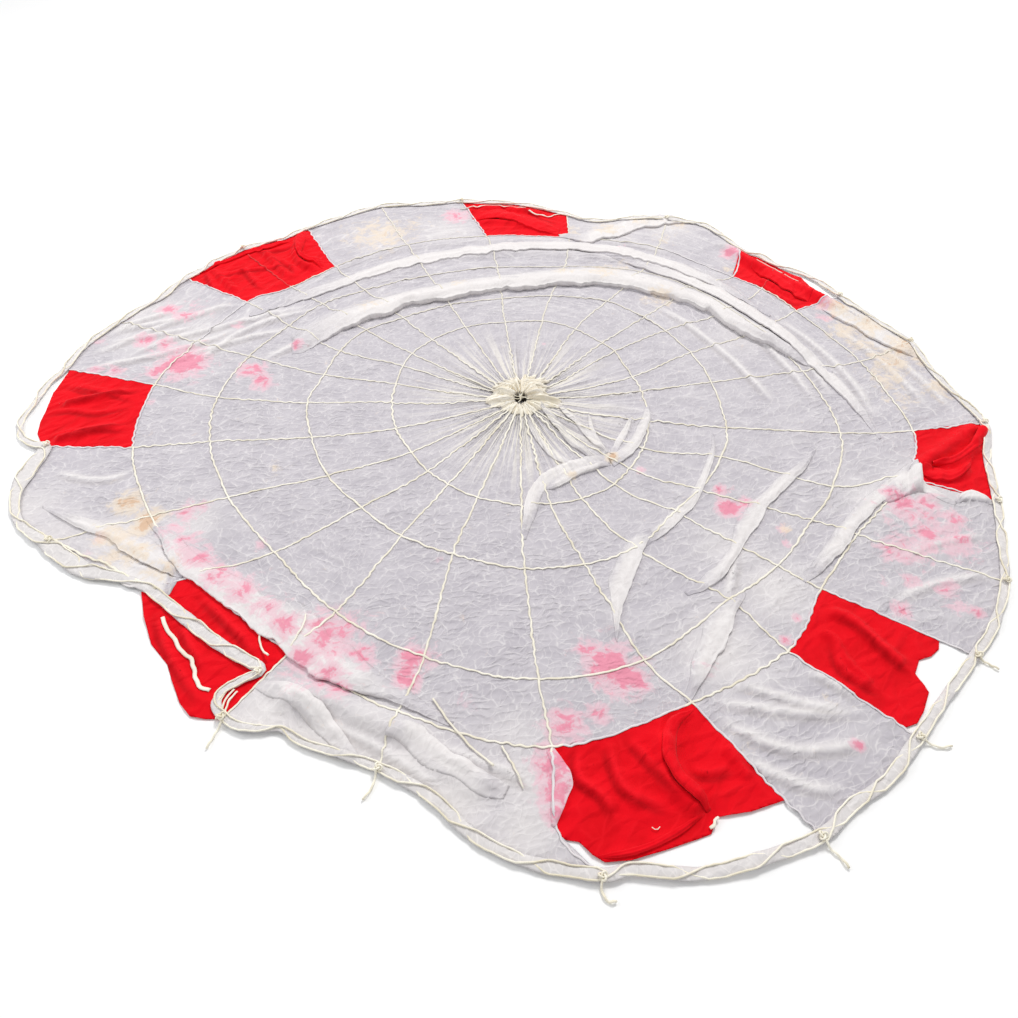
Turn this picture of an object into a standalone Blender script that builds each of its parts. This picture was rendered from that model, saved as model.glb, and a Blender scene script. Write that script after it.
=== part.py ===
"""Round parachute canopy, laid out on the ground.

Metres, +Z up. The seams are placed round the apex, and the finished canopy is then moved so that
the origin lies on the ground under the middle of its box. +Y runs from the front of the canopy to its back.
"""

import math

import bmesh
import bpy
from mathutils import Vector
from mathutils.bvhtree import BVHTree
from mathutils.geometry import delaunay_2d_cdt, intersect_line_line_2d

# Thicknesses and clearances
CLOTH_T = 0.0016
TAPE_T = 0.0012
BAND_T = 0.0014
BAND_CROWN = 0.0050
COLLAR_T = 0.0024
GAP = 0.0003
TAPE_LIFT = 0.0005
CORD_LIFT = 0.0004
EDGE_INSET = 0.0002

# Tapes and cords
TAPE_W = 0.011
RED_HEM_W = 0.013
STUB_R = 0.0030
VENT_LINE_R = 0.0018
VENT_LINE_ANGLES = (25.7, 77.1, 154.3)
VENT_LINE_REACH = 0.040
VENT_LINE_Z = 0.034

# Vent and gathered collar
VENT_R = 0.030
COLLAR_IN_R = 0.027
COLLAR_OUT_R = 0.118
COLLAR_EDGE_SWING = 0.011
COLLAR_H = 0.020
COLLAR_BASE = 0.0005
PLEATS = 14
PLEAT_H = 0.0040
APEX_RISE = 0.012
APEX_R = 0.26

# Spacing of the mesh
SPACING_FLAT = 0.13
SPACING_FOLD = 0.062
SAMPLE_STEP = 0.0025
SAMPLES_PER_GORE = 3
FOLD_LINES = (-1.0, -0.5, 0.0, 0.5, 1.0)
NARROW_FOLD = 0.035
FLAT_HEIGHT = 0.0002
CLEAR_OF_LINES = 0.045
CLEAR_OF_FOLDS = 0.014
CLEAR_OF_RIM = 0.014
SLIVER = 0.0006

RINGS = ("A", "B", "C", "D")

# Seam, then its angle in degrees and its radius in metres at ring tape A, B, C, D and at the skirt band
SEAMS = (
    ("01", 197.0, 0.388, 194.3, 0.634, 191.1, 0.923, 190.4, 1.140, 188.3, 1.385),
    ("02", 214.7, 0.386, 210.7, 0.628, 207.2, 0.894, 205.9, 1.096, 205.3, 1.345),
    ("03", 228.8, 0.398, 225.8, 0.619, 223.9, 0.877, 220.0, 1.068, 218.6, 1.170),
    ("04", 240.3, 0.407, 240.3, 0.632, 240.8, 0.915, 239.6, 1.059, 239.2, 1.262),
    ("05", 253.6, 0.421, 253.9, 0.637, 256.2, 0.950, 255.7, 1.102, 255.9, 1.232),
    ("06", 269.9, 0.436, 270.5, 0.659, 271.9, 0.984, 272.9, 1.149, 275.8, 1.418),
    ("07", 280.3, 0.433, 283.8, 0.662, 286.5, 0.968, 289.5, 1.101, 293.2, 1.452),
    ("08", 292.0, 0.440, 296.4, 0.658, 303.5, 0.907, 304.0, 1.088, 306.6, 1.397),
    ("09", 306.1, 0.434, 311.8, 0.616, 314.9, 0.911, 315.6, 1.027, 318.6, 1.380),
    ("10", 316.7, 0.418, 322.7, 0.616, 327.8, 0.909, 328.5, 1.026, 329.8, 1.380),
    ("11", 330.4, 0.406, 337.8, 0.619, 337.5, 0.930, 343.2, 1.116, 342.3, 1.353),
    ("12", 348.5, 0.391, 350.3, 0.620, 352.5, 0.953, 354.2, 1.166, 356.9, 1.388),
    ("13", 370.3, 0.384, 371.2, 0.615, 371.2, 0.926, 371.8, 1.131, 374.5, 1.346),
    ("14", 382.3, 0.386, 386.5, 0.627, 386.5, 0.894, 388.8, 1.109, 388.8, 1.312),
    ("15", 402.0, 0.419, 399.6, 0.640, 395.8, 0.893, 397.8, 1.116, 400.9, 1.287),
    ("16", 410.5, 0.430, 408.5, 0.650, 407.4, 0.917, 404.2, 1.102, 408.3, 1.290),
    ("17", 425.5, 0.456, 422.3, 0.670, 420.2, 0.915, 420.9, 1.100, 423.4, 1.345),
    ("18", 440.5, 0.470, 439.7, 0.640, 438.4, 0.848, 439.3, 1.067, 441.0, 1.270),
    ("19", 456.4, 0.454, 455.9, 0.610, 455.7, 0.832, 456.9, 1.082, 459.9, 1.385),
    ("20", 473.4, 0.466, 473.4, 0.620, 473.6, 0.836, 473.7, 1.075, 473.5, 1.440),
    ("21", 490.1, 0.455, 490.2, 0.625, 490.2, 0.867, 490.0, 1.067, 486.9, 1.408),
    ("22", 503.0, 0.445, 502.4, 0.660, 501.0, 0.895, 500.7, 1.068, 498.6, 1.412),
    ("23", 512.2, 0.429, 514.9, 0.655, 511.3, 0.900, 509.2, 1.124, 508.9, 1.425),
    ("24", 525.1, 0.406, 526.7, 0.642, 524.4, 0.918, 523.2, 1.124, 522.1, 1.442),
    ("25", 538.9, 0.395, 539.4, 0.654, 538.1, 0.936, 535.3, 1.153, 533.2, 1.466),
)

# Seam, and the point its skirt stretch passes through on its way to the band: angle and radius
SEAM_BOWS = {"06": (272.7, 1.330), "07": (291.4, 1.262)}

# Skirt panel, the seams on its two sides, and its colour
PANELS = (
    ("white_panel_01", "01", "03", "white"),
    ("red_panel_01", "03", "04", "red"),
    ("white_panel_02", "04", "06", "white"),
    ("red_panel_02", "06", "07", "red"),
    ("white_panel_03", "07", "08", "white"),
    ("red_panel_03", "08", "09", "red"),
    ("white_panel_04", "09", "11", "white"),
    ("red_panel_04", "11", "12", "red"),
    ("white_panel_05", "12", "14", "white"),
    ("red_panel_05", "14", "16", "red"),
    ("white_panel_06", "16", "18", "white"),
    ("red_panel_06", "18", "19", "red"),
    ("white_panel_07", "19", "21", "white"),
    ("red_panel_07", "21", "23", "red"),
    ("white_panel_08", "23", "25", "white"),
    ("red_panel_08", "25", "01", "red"),
)

# Panels whose hem leaves the band: the radius where the hem starts on the first seam, its points
# as angle and radius, and the radius where it ends on the second seam
HEMS = {
    "red_panel_01": (1.188, ((221.9, 1.212), (226.0, 1.238), (229.5, 1.243), (231.5, 1.261),
                             (234.3, 1.287), (236.3, 1.296), (237.7, 1.283)), 1.262),
    "white_panel_02": (1.262, ((241.6, 1.268), (243.3, 1.244), (244.9, 1.222), (247.5, 1.235), (251.0, 1.232),
                               (255.6, 1.234), (259.6, 1.256), (262.4, 1.286), (264.8, 1.328), (266.7, 1.356),
                               (270.7, 1.392), (273.5, 1.408)), 1.418),
    "red_panel_02": (1.345, ((274.4, 1.351), (275.3, 1.378), (276.2, 1.394), (278.3, 1.396), (281.1, 1.388),
                             (284.0, 1.381), (285.2, 1.378), (286.3, 1.351), (289.2, 1.361)), 1.364),
    "red_panel_03": (1.366, ((307.8, 1.376), (309.4, 1.368), (311.6, 1.350), (312.5, 1.305), (314.3, 1.293),
                             (315.6, 1.308), (317.0, 1.312)), 1.302),
    "red_panel_05": (1.270, ((393.4, 1.268), (396.3, 1.300), (398.9, 1.280), (404.7, 1.292)), 1.285),
    "red_panel_08": (1.455, ((538.0, 1.452), (541.1, 1.440), (543.7, 1.438), (545.8, 1.430)), 1.400),
}

# Middle line of the skirt band: angle, radius and width of the strip
BAND = (
    (173.4, 1.468, 0.026), (176.5, 1.484, 0.026), (181.0, 1.485, 0.022), (183.4, 1.493, 0.022),
    (186.0, 1.474, 0.022), (187.6, 1.437, 0.026), (188.7, 1.390, 0.044), (190.9, 1.404, 0.060),
    (193.8, 1.424, 0.056), (196.7, 1.434, 0.034), (200.9, 1.418, 0.028), (205.5, 1.354, 0.046),
    (209.0, 1.312, 0.056), (212.0, 1.276, 0.048), (215.2, 1.212, 0.032), (218.2, 1.174, 0.030),
    (221.5, 1.156, 0.034), (225.5, 1.144, 0.038), (230.7, 1.137, 0.038), (235.0, 1.130, 0.036),
    (238.4, 1.128, 0.030), (237.6, 1.170, 0.024), (236.9, 1.218, 0.024), (238.0, 1.252, 0.024),
    (240.8, 1.262, 0.024), (243.3, 1.242, 0.020), (245.0, 1.222, 0.020), (247.6, 1.232, 0.020),
    (251.2, 1.230, 0.022), (255.6, 1.232, 0.026), (259.6, 1.254, 0.030), (262.4, 1.284, 0.030),
    (264.8, 1.326, 0.030), (267.0, 1.356, 0.030), (270.7, 1.390, 0.030), (275.8, 1.418, 0.032),
    (278.2, 1.414, 0.030), (282.7, 1.443, 0.032), (287.0, 1.450, 0.032), (293.2, 1.452, 0.032),
    (297.1, 1.428, 0.030), (301.2, 1.424, 0.030), (306.6, 1.397, 0.030), (310.4, 1.384, 0.026),
    (318.6, 1.380, 0.028), (323.0, 1.386, 0.026), (329.8, 1.380, 0.026), (337.8, 1.356, 0.026),
    (342.3, 1.353, 0.026), (349.0, 1.351, 0.026), (353.6, 1.370, 0.028), (356.9, 1.388, 0.030),
    (362.5, 1.354, 0.026), (367.7, 1.335, 0.026), (374.5, 1.346, 0.026), (381.3, 1.316, 0.026),
    (388.8, 1.312, 0.026), (395.8, 1.322, 0.026), (400.9, 1.287, 0.026), (404.7, 1.303, 0.026),
    (408.3, 1.290, 0.026), (413.5, 1.350, 0.028), (418.5, 1.392, 0.030), (423.4, 1.345, 0.026),
    (428.0, 1.300, 0.026), (435.6, 1.242, 0.026), (441.0, 1.270, 0.026), (450.0, 1.350, 0.028),
    (459.9, 1.385, 0.028), (465.0, 1.398, 0.028), (473.5, 1.440, 0.028), (481.0, 1.420, 0.026),
    (486.9, 1.408, 0.026), (492.0, 1.390, 0.026), (498.6, 1.412, 0.026), (508.9, 1.427, 0.026),
    (514.6, 1.409, 0.026), (518.5, 1.429, 0.026), (523.5, 1.450, 0.026), (528.2, 1.473, 0.026),
)

# Fold, half its width, its height, and the points of its crest in the canopy's plan
FOLDS = (
    ("roll behind the apex", 0.055, 0.026, ((-0.700, 0.370), (-0.578, 0.485), (-0.466, 0.555), (-0.354, 0.613),
                                            (-0.169, 0.679), (0.078, 0.738), (0.280, 0.771), (0.462, 0.711),
                                            (0.619, 0.597), (0.728, 0.455), (0.870, 0.290))),
    ("low fold behind the roll", 0.050, 0.012, ((-0.720, 0.650), (-0.402, 0.861), (-0.080, 0.930), (0.246, 0.918),
                                                (0.500, 0.866), (0.740, 0.690))),
    ("pinch", 0.036, 0.022, ((0.010, -0.480), (0.020, -0.390), (0.070, -0.345), (0.140, -0.310), (0.190, -0.290),
                             (0.260, -0.250), (0.330, -0.160), (0.380, -0.040))),
    ("right front crease", 0.032, 0.018, ((0.560, -0.280), (0.430, -0.440), (0.290, -0.570), (0.250, -0.660),
                                          (0.230, -0.800))),
    ("right front long crease", 0.036, 0.020, ((0.680, -0.380), (0.580, -0.480), (0.530, -0.600), (0.430, -0.750),
                                               (0.400, -0.880), (0.360, -1.030))),
    ("right rim crease", 0.036, 0.018, ((1.100, -0.290), (0.980, -0.380), (0.890, -0.460), (0.840, -0.550),
                                        (0.750, -0.640), (0.690, -0.720))),
    ("front left pleat", 0.042, 0.017, ((-0.960, -0.530), (-0.810, -0.660), (-0.670, -0.755), (-0.510, -0.830),
                                        (-0.250, -1.010), (-0.050, -1.145), (0.080, -1.230))),
    ("left pleat", 0.040, 0.012, ((-1.180, -0.440), (-1.080, -0.530), (-0.960, -0.620), (-0.840, -0.710))),
    ("turned edge of red panel 04", 0.042, 0.022, ((1.370, -0.090), (1.280, -0.160), (1.160, -0.250),
                                                   (1.070, -0.320))),
    ("billow at the front left", 0.050, 0.020, ((-0.560, -1.040), (-0.450, -1.030), (-0.330, -1.090),
                                                (-0.200, -1.130))),
    ("rim roll at the back right", 0.045, 0.022, ((0.758, 1.075), (0.853, 0.894), (0.965, 0.735), (1.051, 0.635),
                                                  (1.146, 0.508), (1.232, 0.418))),
    ("lobe of red panel 02", 0.034, 0.015, ((0.300, -1.102), (0.283, -1.171), (0.292, -1.223), (0.326, -1.265),
                                            (0.353, -1.293))),
    ("left pleat of red panel 02", 0.024, 0.010, ((0.109, -1.189), (0.117, -1.224), (0.157, -1.257),
                                                  (0.177, -1.294))),
    ("middle pleat of red panel 02", 0.024, 0.009, ((0.178, -1.130), (0.183, -1.185), (0.202, -1.240),
                                                    (0.236, -1.283))),
    ("right pleat of red panel 02", 0.024, 0.008, ((0.417, -1.143), (0.436, -1.175), (0.458, -1.222))),
    ("ridge of red panel 03", 0.032, 0.015, ((0.718, -0.788), (0.775, -0.816), (0.805, -0.866), (0.835, -0.910),
                                             (0.872, -0.953))),
    ("crease of red panel 03", 0.024, 0.010, ((0.693, -0.844), (0.721, -0.872), (0.730, -0.924), (0.752, -0.970),
                                              (0.776, -0.999))),
    ("bend of red panel 04", 0.024, 0.013, ((1.150, -0.330), (1.188, -0.322), (1.230, -0.310), (1.270, -0.270))),
    ("turned edge of red panel 05", 0.028, 0.012, ((0.880, 0.750), (0.925, 0.700), (0.985, 0.610))),
    ("near fold of red panel 06", 0.030, 0.012, ((-0.191, 1.180), (-0.065, 1.190), (0.060, 1.142), (0.150, 1.100))),
    ("far fold of red panel 06", 0.030, 0.014, ((-0.230, 1.300), (-0.110, 1.300), (0.028, 1.275), (0.130, 1.235))),
    ("right ridge of red panel 07", 0.030, 0.015, ((-0.868, 1.090), (-0.858, 0.930), (-0.820, 0.840),
                                                   (-0.750, 0.800))),
    ("middle ridge of red panel 07", 0.028, 0.011, ((-0.990, 0.950), (-0.915, 0.840), (-0.850, 0.740))),
    ("left ridge of red panel 07", 0.028, 0.011, ((-1.154, 0.799), (-1.082, 0.719), (-1.020, 0.640))),
    ("front ridge of red panel 08", 0.028, 0.012, ((-1.370, -0.173), (-1.315, -0.156), (-1.263, -0.129),
                                                   (-1.180, -0.110))),
    ("back ridge of red panel 08", 0.028, 0.012, ((-1.400, -0.018), (-1.350, 0.011), (-1.290, 0.030),
                                                  (-1.210, 0.070))),
)

# Line stub: its points in plan, from the knot on the band to the cut end
STUBS = (
    ("line_stub_01", ((-0.642, -1.090), (-0.650, -1.108), (-0.657, -1.130), (-0.664, -1.154))),
    ("line_stub_02", ((-0.303, -1.198), (-0.304, -1.220), (-0.311, -1.244), (-0.324, -1.264))),
    ("line_stub_03", ((0.143, -1.414), (0.140, -1.436), (0.150, -1.456), (0.166, -1.456))),
    ("line_stub_04", ((0.574, -1.340), (0.584, -1.358), (0.598, -1.373), (0.610, -1.394))),
    ("line_stub_05", ((0.836, -1.124), (0.852, -1.136), (0.874, -1.144), (0.898, -1.140))),
    ("line_stub_06", ((1.036, -0.914), (1.047, -0.928), (1.060, -0.938), (1.074, -0.950))),
    ("line_stub_07", ((-0.578, -0.930), (-0.594, -0.914), (-0.606, -0.892), (-0.612, -0.872))),
)

# Loose hem tape on the turned-out red panel, in plan
RED_HEM_TAPE = ((-0.854, -0.816), (-0.836, -0.846), (-0.814, -0.872), (-0.790, -0.900), (-0.758, -0.930),
                (-0.744, -0.960), (-0.722, -0.998), (-0.692, -1.014))

# Colour, roughness and metallic value of each material
FINISHES = {
    "white_cloth": ((0.72, 0.71, 0.75), 0.80, 0.0),
    "red_cloth": ((0.80, 0.01, 0.02), 0.75, 0.0),
    "cream_tape": ((0.86, 0.81, 0.66), 0.80, 0.0),
    "collar_cloth": ((0.80, 0.75, 0.62), 0.80, 0.0),
    "band_cloth": ((0.78, 0.76, 0.74), 0.80, 0.0),
    "cord": ((0.74, 0.70, 0.60), 0.85, 0.0),
}


def clear_scene():
    for obj in list(bpy.data.objects):
        bpy.data.objects.remove(obj, do_unlink=True)


def polar(angle, radius):
    a = math.radians(angle)
    return Vector((radius * math.cos(a), radius * math.sin(a)))


def material(slot):
    mat = bpy.data.materials.get(slot)
    if mat is None:
        mat = bpy.data.materials.new(slot)
        mat.use_nodes = True
        colour, roughness, metallic = FINISHES[slot]
        shader = mat.node_tree.nodes["Principled BSDF"]
        shader.inputs["Base Color"].default_value = (*colour, 1.0)
        shader.inputs["Roughness"].default_value = roughness
        shader.inputs["Metallic"].default_value = metallic
    return mat


def add_object(name, data, slot):
    obj = bpy.data.objects.new(name, data)
    bpy.context.scene.collection.objects.link(obj)
    data.materials.append(material(slot))
    return obj


# ---- curves in plan ----

def spline_point(a, b, c, d, t):
    """A point between b and c on the Catmull-Rom curve through a, b, c and d."""
    return 0.5 * (2 * b + (c - a) * t + (2 * a - 5 * b + 4 * c - d) * t * t + (3 * b - a - 3 * c + d) * t ** 3)


def smooth_open(points, steps):
    """The open curve through the points, with that many steps between two of them."""
    ends = [2 * points[0] - points[1], *points, 2 * points[-1] - points[-2]]
    curve = []
    for i in range(1, len(ends) - 2):
        curve += [spline_point(*ends[i - 1:i + 3], t=k / steps) for k in range(steps)]
    return curve + [points[-1]]


def smooth_closed(points, steps):
    """The closed curve through the points, with that many steps between two of them."""
    n = len(points)
    curve = []
    for i in range(n):
        four = [points[(i + k) % n] for k in (-1, 0, 1, 2)]
        curve += [spline_point(*four, t=k / steps) for k in range(steps)]
    return curve


def seam_row(name):
    return next(row for row in SEAMS if row[0] == name)


def seam_corner(row, ring):
    """Where a seam meets a ring tape, or the skirt band at index 4."""
    return polar(row[1 + 2 * ring], row[2 + 2 * ring])


def ring_curve(ring):
    """The ring tape's middle line: SAMPLES_PER_GORE points from each seam to the next."""
    return smooth_closed([seam_corner(row, ring) for row in SEAMS], SAMPLES_PER_GORE)


def skirt_seam(name):
    """A seam's line across the skirt, from ring tape D to the band."""
    row = seam_row(name)
    points = [seam_corner(row, 3), seam_corner(row, 4)]
    if name in SEAM_BOWS:
        points.insert(1, polar(*SEAM_BOWS[name]))
    return points


def cut_at_radius(points, radius):
    """The line from its first point to where it reaches the radius."""
    kept = [points[0]]
    for a, b in zip(points, points[1:]):
        if b.length < radius:
            kept.append(b)
            continue
        return kept + [a + (b - a) * (radius - a.length) / (b.length - a.length)]
    last = points[-1]
    return kept[:-1] + [last + (last - points[-2]).normalized() * (radius - last.length)]


def band_points(start, end):
    """Points of the band's middle line between two angles, both left out."""
    turn = 360.0
    rows = [(angle + lap * turn, radius) for lap in (0, 1) for angle, radius, _ in BAND]
    return [polar(angle, radius) for angle, radius in rows if start + 1.0 < angle < end - 1.0]


# ---- heights ----

def nearest_on_line(point, line):
    """Distance from a point to a line of points, and how far along it that is, from 0 to 1."""
    best = (1e9, 0.0)
    for i, (a, b) in enumerate(zip(line, line[1:])):
        along = b - a
        t = max(0.0, min(1.0, (point - a).dot(along) / along.length_squared))
        away = (point - a - along * t).length
        if away < best[0]:
            best = (away, (i + t) / (len(line) - 1))
    return best


def pleat_wave(angle):
    """1 on a pleat's ridge and -1 between two pleats."""
    return math.cos(PLEATS * angle)


def smooth_step(t):
    t = max(0.0, min(1.0, t))
    return t * t * (3 - 2 * t)


FOLD_CRESTS = [(half, high, smooth_open([Vector(p) for p in points], 3)) for _, half, high, points in FOLDS]
FOLD_END = 0.14


def ground_height(point):
    """Height of the cloth's underside: the folds and the rise at the apex over flat ground."""
    height = 0.0
    for half, high, crest in FOLD_CRESTS:
        away, along = nearest_on_line(point, crest)
        if away < half:
            end = smooth_step(min(along, 1 - along) / FOLD_END)
            height = max(height, high * end * 0.5 * (1 + math.cos(math.pi * away / half)))
    radius = point.length
    if radius < APEX_R:
        near = smooth_step((APEX_R - radius) / (APEX_R - VENT_R))
        wave = 0.5 + 0.5 * pleat_wave(math.atan2(point.y, point.x))
        height = max(height, near * (APEX_RISE + PLEAT_H * wave))
    return height


# ---- cloth sheets ----

def on_fold(a, b):
    return any(ground_height(a.lerp(b, k / 4)) > FLAT_HEIGHT for k in range(5))


def refined(points, closed):
    """The same line with short steps on folds and long ones on flat cloth."""
    pairs = list(zip(points, points[1:] + points[:1])) if closed else list(zip(points, points[1:]))
    line = []
    for a, b in pairs:
        step = SPACING_FOLD if on_fold(a, b) else SPACING_FLAT
        count = max(1, math.ceil((b - a).length / step))
        line += [a.lerp(b, k / count) for k in range(count)]
    return line if closed else line + [points[-1]]


def inset(points, by):
    """A closed line that runs counter-clockwise, moved inwards."""
    moved = []
    for i, point in enumerate(points):
        into = (point - points[i - 1]).normalized()
        out = (points[(i + 1) % len(points)] - point).normalized()
        side = Vector((-into.y - out.y, into.x + out.x)).normalized()
        moved.append(point + side * by / max(0.5, side.dot(Vector((-into.y, into.x)))))
    return moved


def inside(point, outline):
    crossings = 0
    for a, b in zip(outline, outline[1:] + outline[:1]):
        if (a.y > point.y) != (b.y > point.y):
            crossings += point.x < a.x + (b.x - a.x) * (point.y - a.y) / (b.y - a.y)
    return crossings % 2 == 1


def fold_lines():
    """The lines along each fold that the mesh follows: its crest, its flanks and its feet."""
    lines = []
    for half, _, crest in FOLD_CRESTS:
        line = refined(crest[::2] if len(crest) % 2 else crest, False)
        shares = FOLD_LINES[::2] if half < NARROW_FOLD else FOLD_LINES
        for share in shares:
            moved = []
            for i, point in enumerate(line):
                along = (line[min(i + 1, len(line) - 1)] - line[max(i - 1, 0)]).normalized()
                moved.append(point + Vector((-along.y, along.x)) * share * half)
            lines.append(moved)
    return lines


def apex_lines():
    """Rings of points round the apex, on the pleats' ridges and between them."""
    rings = []
    for radius in (0.060, 0.100, 0.160, APEX_R):
        count = 2 * PLEATS
        rings.append([polar(360 * k / count, radius) for k in range(count)])
    return rings


def loose_points(outline, taken):
    """A triangular grid of points inside the outline, away from the points already taken."""
    low = Vector((min(p.x for p in outline), min(p.y for p in outline)))
    high = Vector((max(p.x for p in outline), max(p.y for p in outline)))
    points = []
    row_step = SPACING_FLAT * math.sqrt(3) / 2
    for j in range(int((high.y - low.y) / row_step) + 1):
        for i in range(int((high.x - low.x) / SPACING_FLAT) + 2):
            p = low + Vector(((i + 0.5 * (j % 2)) * SPACING_FLAT, (j + 0.5) * row_step))
            if inside(p, outline) and all((p - q).length > CLEAR_OF_LINES for q in taken):
                points.append(p)
    return points


def flatness(a, b, c):
    """A triangle's height over its longest side."""
    longest = max((b - a).length, (c - b).length, (a - c).length)
    return abs((b - a).cross(c - a)) / longest


def cloth_mesh(name, outline, hole=()):
    """A sheet that lies on the ground and over the folds, as one closed body."""
    points = list(outline) + list(hole)
    n = len(outline)
    edges = [(i, (i + 1) % n) for i in range(n)]
    edges += [(n + i, n + (i + 1) % len(hole)) for i in range(len(hole))]
    rims = [[*loop, loop[0]] for loop in (list(outline), list(hole)) if loop]
    on_rim = len(points)

    def free(p):
        ok = inside(p, outline) and not (hole and inside(p, list(hole)))
        return ok and all(nearest_on_line(p, rim)[0] > CLEAR_OF_RIM for rim in rims)

    def crosses(a, b):
        for i, j in edges:
            if a in (i, j) or b in (i, j):
                continue
            if intersect_line_line_2d(points[a], points[b], points[i], points[j]):
                return True
        return False

    for line in fold_lines() + (apex_lines() if hole else []):
        last = None
        for p in line:
            if not free(p) or any((p - q).length < CLEAR_OF_FOLDS for q in points[on_rim:]):
                last = None
                continue
            points.append(p)
            here = len(points) - 1
            if last is not None and not crosses(last, here):
                edges.append((last, here))
            last = here
    points += loose_points(outline, points)
    corners, _, faces, *_ = delaunay_2d_cdt(points, edges, [], 0, 1e-6)
    kept = []
    for face in faces:
        middle = sum((corners[i] for i in face), Vector((0.0, 0.0))) / 3
        if flatness(*(corners[i] for i in face)) < SLIVER:
            continue
        if inside(middle, outline) and not (hole and inside(middle, list(hole))):
            kept.append(tuple(face))
    return thick_mesh(name, corners, kept, ground_height, CLOTH_T)


def thick_mesh(name, corners, faces, height, thickness):
    """A closed body: the faces at the given height, the same faces above, and walls round their edges."""
    bm = bmesh.new()
    used = sorted({i for face in faces for i in face})
    low = {}
    high = {}
    for i in used:
        x, y = corners[i]
        z = height(Vector((x, y)))
        low[i] = bm.verts.new((x, y, z))
        high[i] = bm.verts.new((x, y, z + thickness))
    sides = {(face[k], face[(k + 1) % 3]) for face in faces for k in range(3)}
    for face in faces:
        bm.faces.new([high[i] for i in face])
        bm.faces.new([low[i] for i in reversed(face)])
    for a, b in sorted(sides):
        if (b, a) not in sides:
            bm.faces.new([low[a], low[b], high[b], high[a]])
    mesh = bpy.data.meshes.new(name)
    bm.to_mesh(mesh)
    bm.free()
    return mesh


def panel_outline(name, first, second):
    """Counter-clockwise: along the hem or band, back down the second seam, and along ring tape D."""
    count = len(SEAMS)
    start = [row[0] for row in SEAMS].index(first)
    end = [row[0] for row in SEAMS].index(second)
    end += count if end < start else 0
    ring = ring_curve(3)
    inner = [ring[k % len(ring)] for k in range(start * SAMPLES_PER_GORE, end * SAMPLES_PER_GORE + 1)]
    left, right = skirt_seam(first), skirt_seam(second)
    if name in HEMS:
        start_radius, rows, end_radius = HEMS[name]
        left = cut_at_radius(left, start_radius)
        right = cut_at_radius(right, end_radius)
        outer = [polar(*row) for row in rows]
    else:
        low_angle = seam_row(first)[9]
        high_angle = seam_row(second)[9]
        high_angle += 360 if high_angle < low_angle else 0
        outer = band_points(low_angle, high_angle)
    loop = left + outer + right[::-1] + inner[::-1][1:-1]
    return inset(refined(loop, True), EDGE_INSET)


# ---- tapes ----

def surface_under(meshes):
    """A function that gives the top of the meshes at a place in plan, or None where there are none."""
    corners, faces = [], []
    for mesh in meshes:
        first = len(corners)
        corners += [v.co.copy() for v in mesh.vertices]
        faces += [[first + i for i in face.vertices] for face in mesh.polygons]
    tree = BVHTree.FromPolygons(corners, faces)

    def top(point):
        hit = tree.ray_cast(Vector((point.x, point.y, 1.0)), Vector((0, 0, -1)))[0]
        return None if hit is None else hit.z

    return top


def laid_heights(path, widths, under, closed, lift=TAPE_LIFT):
    """The underside of a strip at each station of its path, just clear of what it lies on."""
    n = len(path)

    def rest(point):
        z = under(point)
        return 0.0 if z is None else z + lift

    sides = []
    for i in range(n):
        ahead = path[(i + 1) % n] if closed else path[min(i + 1, n - 1)]
        behind = path[i - 1] if closed else path[max(i - 1, 0)]
        along = (ahead - behind).normalized()
        sides.append(Vector((-along.y, along.x)) * widths[i] / 2)
    across = (-1.0, -0.6, -0.3, 0.0, 0.3, 0.6, 1.0)
    heights = [max(rest(path[i] + sides[i] * s) for s in across) for i in range(n)]
    lifts = [0.0] * n
    for i in range(n if closed else n - 1):
        j = (i + 1) % n
        short = 0.0
        steps = max(2, math.ceil((path[j] - path[i]).length / SAMPLE_STEP))
        for k in range(1, steps):
            t = k / steps
            for s in across:
                p = path[i].lerp(path[j], t) + sides[i].lerp(sides[j], t) * s
                short = max(short, rest(p) - (heights[i] * (1 - t) + heights[j] * t))
        lifts[i] = max(lifts[i], short)
        lifts[j] = max(lifts[j], short)
    return sides, [h + lift for h, lift in zip(heights, lifts)]


def strip_mesh(name, path, widths, under, closed, thickness, crown=0.0):
    """A strip laid on what is under it. A crown makes its middle stand higher than its edges."""
    sides, heights = laid_heights(path, widths, under, closed)
    bm = bmesh.new()
    loops = []
    for point, side, z in zip(path, sides, heights):
        left, right = point + side, point - side
        loop = [(*right, z), (*left, z), (*left, z + thickness)]
        if crown:
            loop.append((*point, z + thickness + crown))
        loop.append((*right, z + thickness))
        loops.append([bm.verts.new(co) for co in loop])
    size = len(loops[0])
    for i in range(len(loops) if closed else len(loops) - 1):
        a, b = loops[i], loops[(i + 1) % len(loops)]
        for k in range(size):
            m = (k + 1) % size
            bm.faces.new([a[k], a[m], b[m], b[k]])
    if not closed:
        bm.faces.new(loops[0][::-1])
        bm.faces.new(loops[-1])
    bmesh.ops.recalc_face_normals(bm, faces=bm.faces)
    bmesh.ops.triangulate(bm, faces=bm.faces)
    mesh = bpy.data.meshes.new(name)
    bm.to_mesh(mesh)
    bm.free()
    return mesh


# ---- the pieces ----

def make_crown():
    vent = [polar(360 * k / (2 * PLEATS), VENT_R) for k in range(2 * PLEATS)]
    outline = inset(refined(ring_curve(3), True), EDGE_INSET)
    mesh = cloth_mesh("crown_cloth", outline, hole=vent)
    add_object("crown_cloth", mesh, "white_cloth")
    return mesh


def make_panels():
    meshes = []
    for name, first, second, colour in PANELS:
        mesh = cloth_mesh(name, panel_outline(name, first, second))
        add_object(name, mesh, colour + "_cloth")
        meshes.append(mesh)
    return meshes


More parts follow.
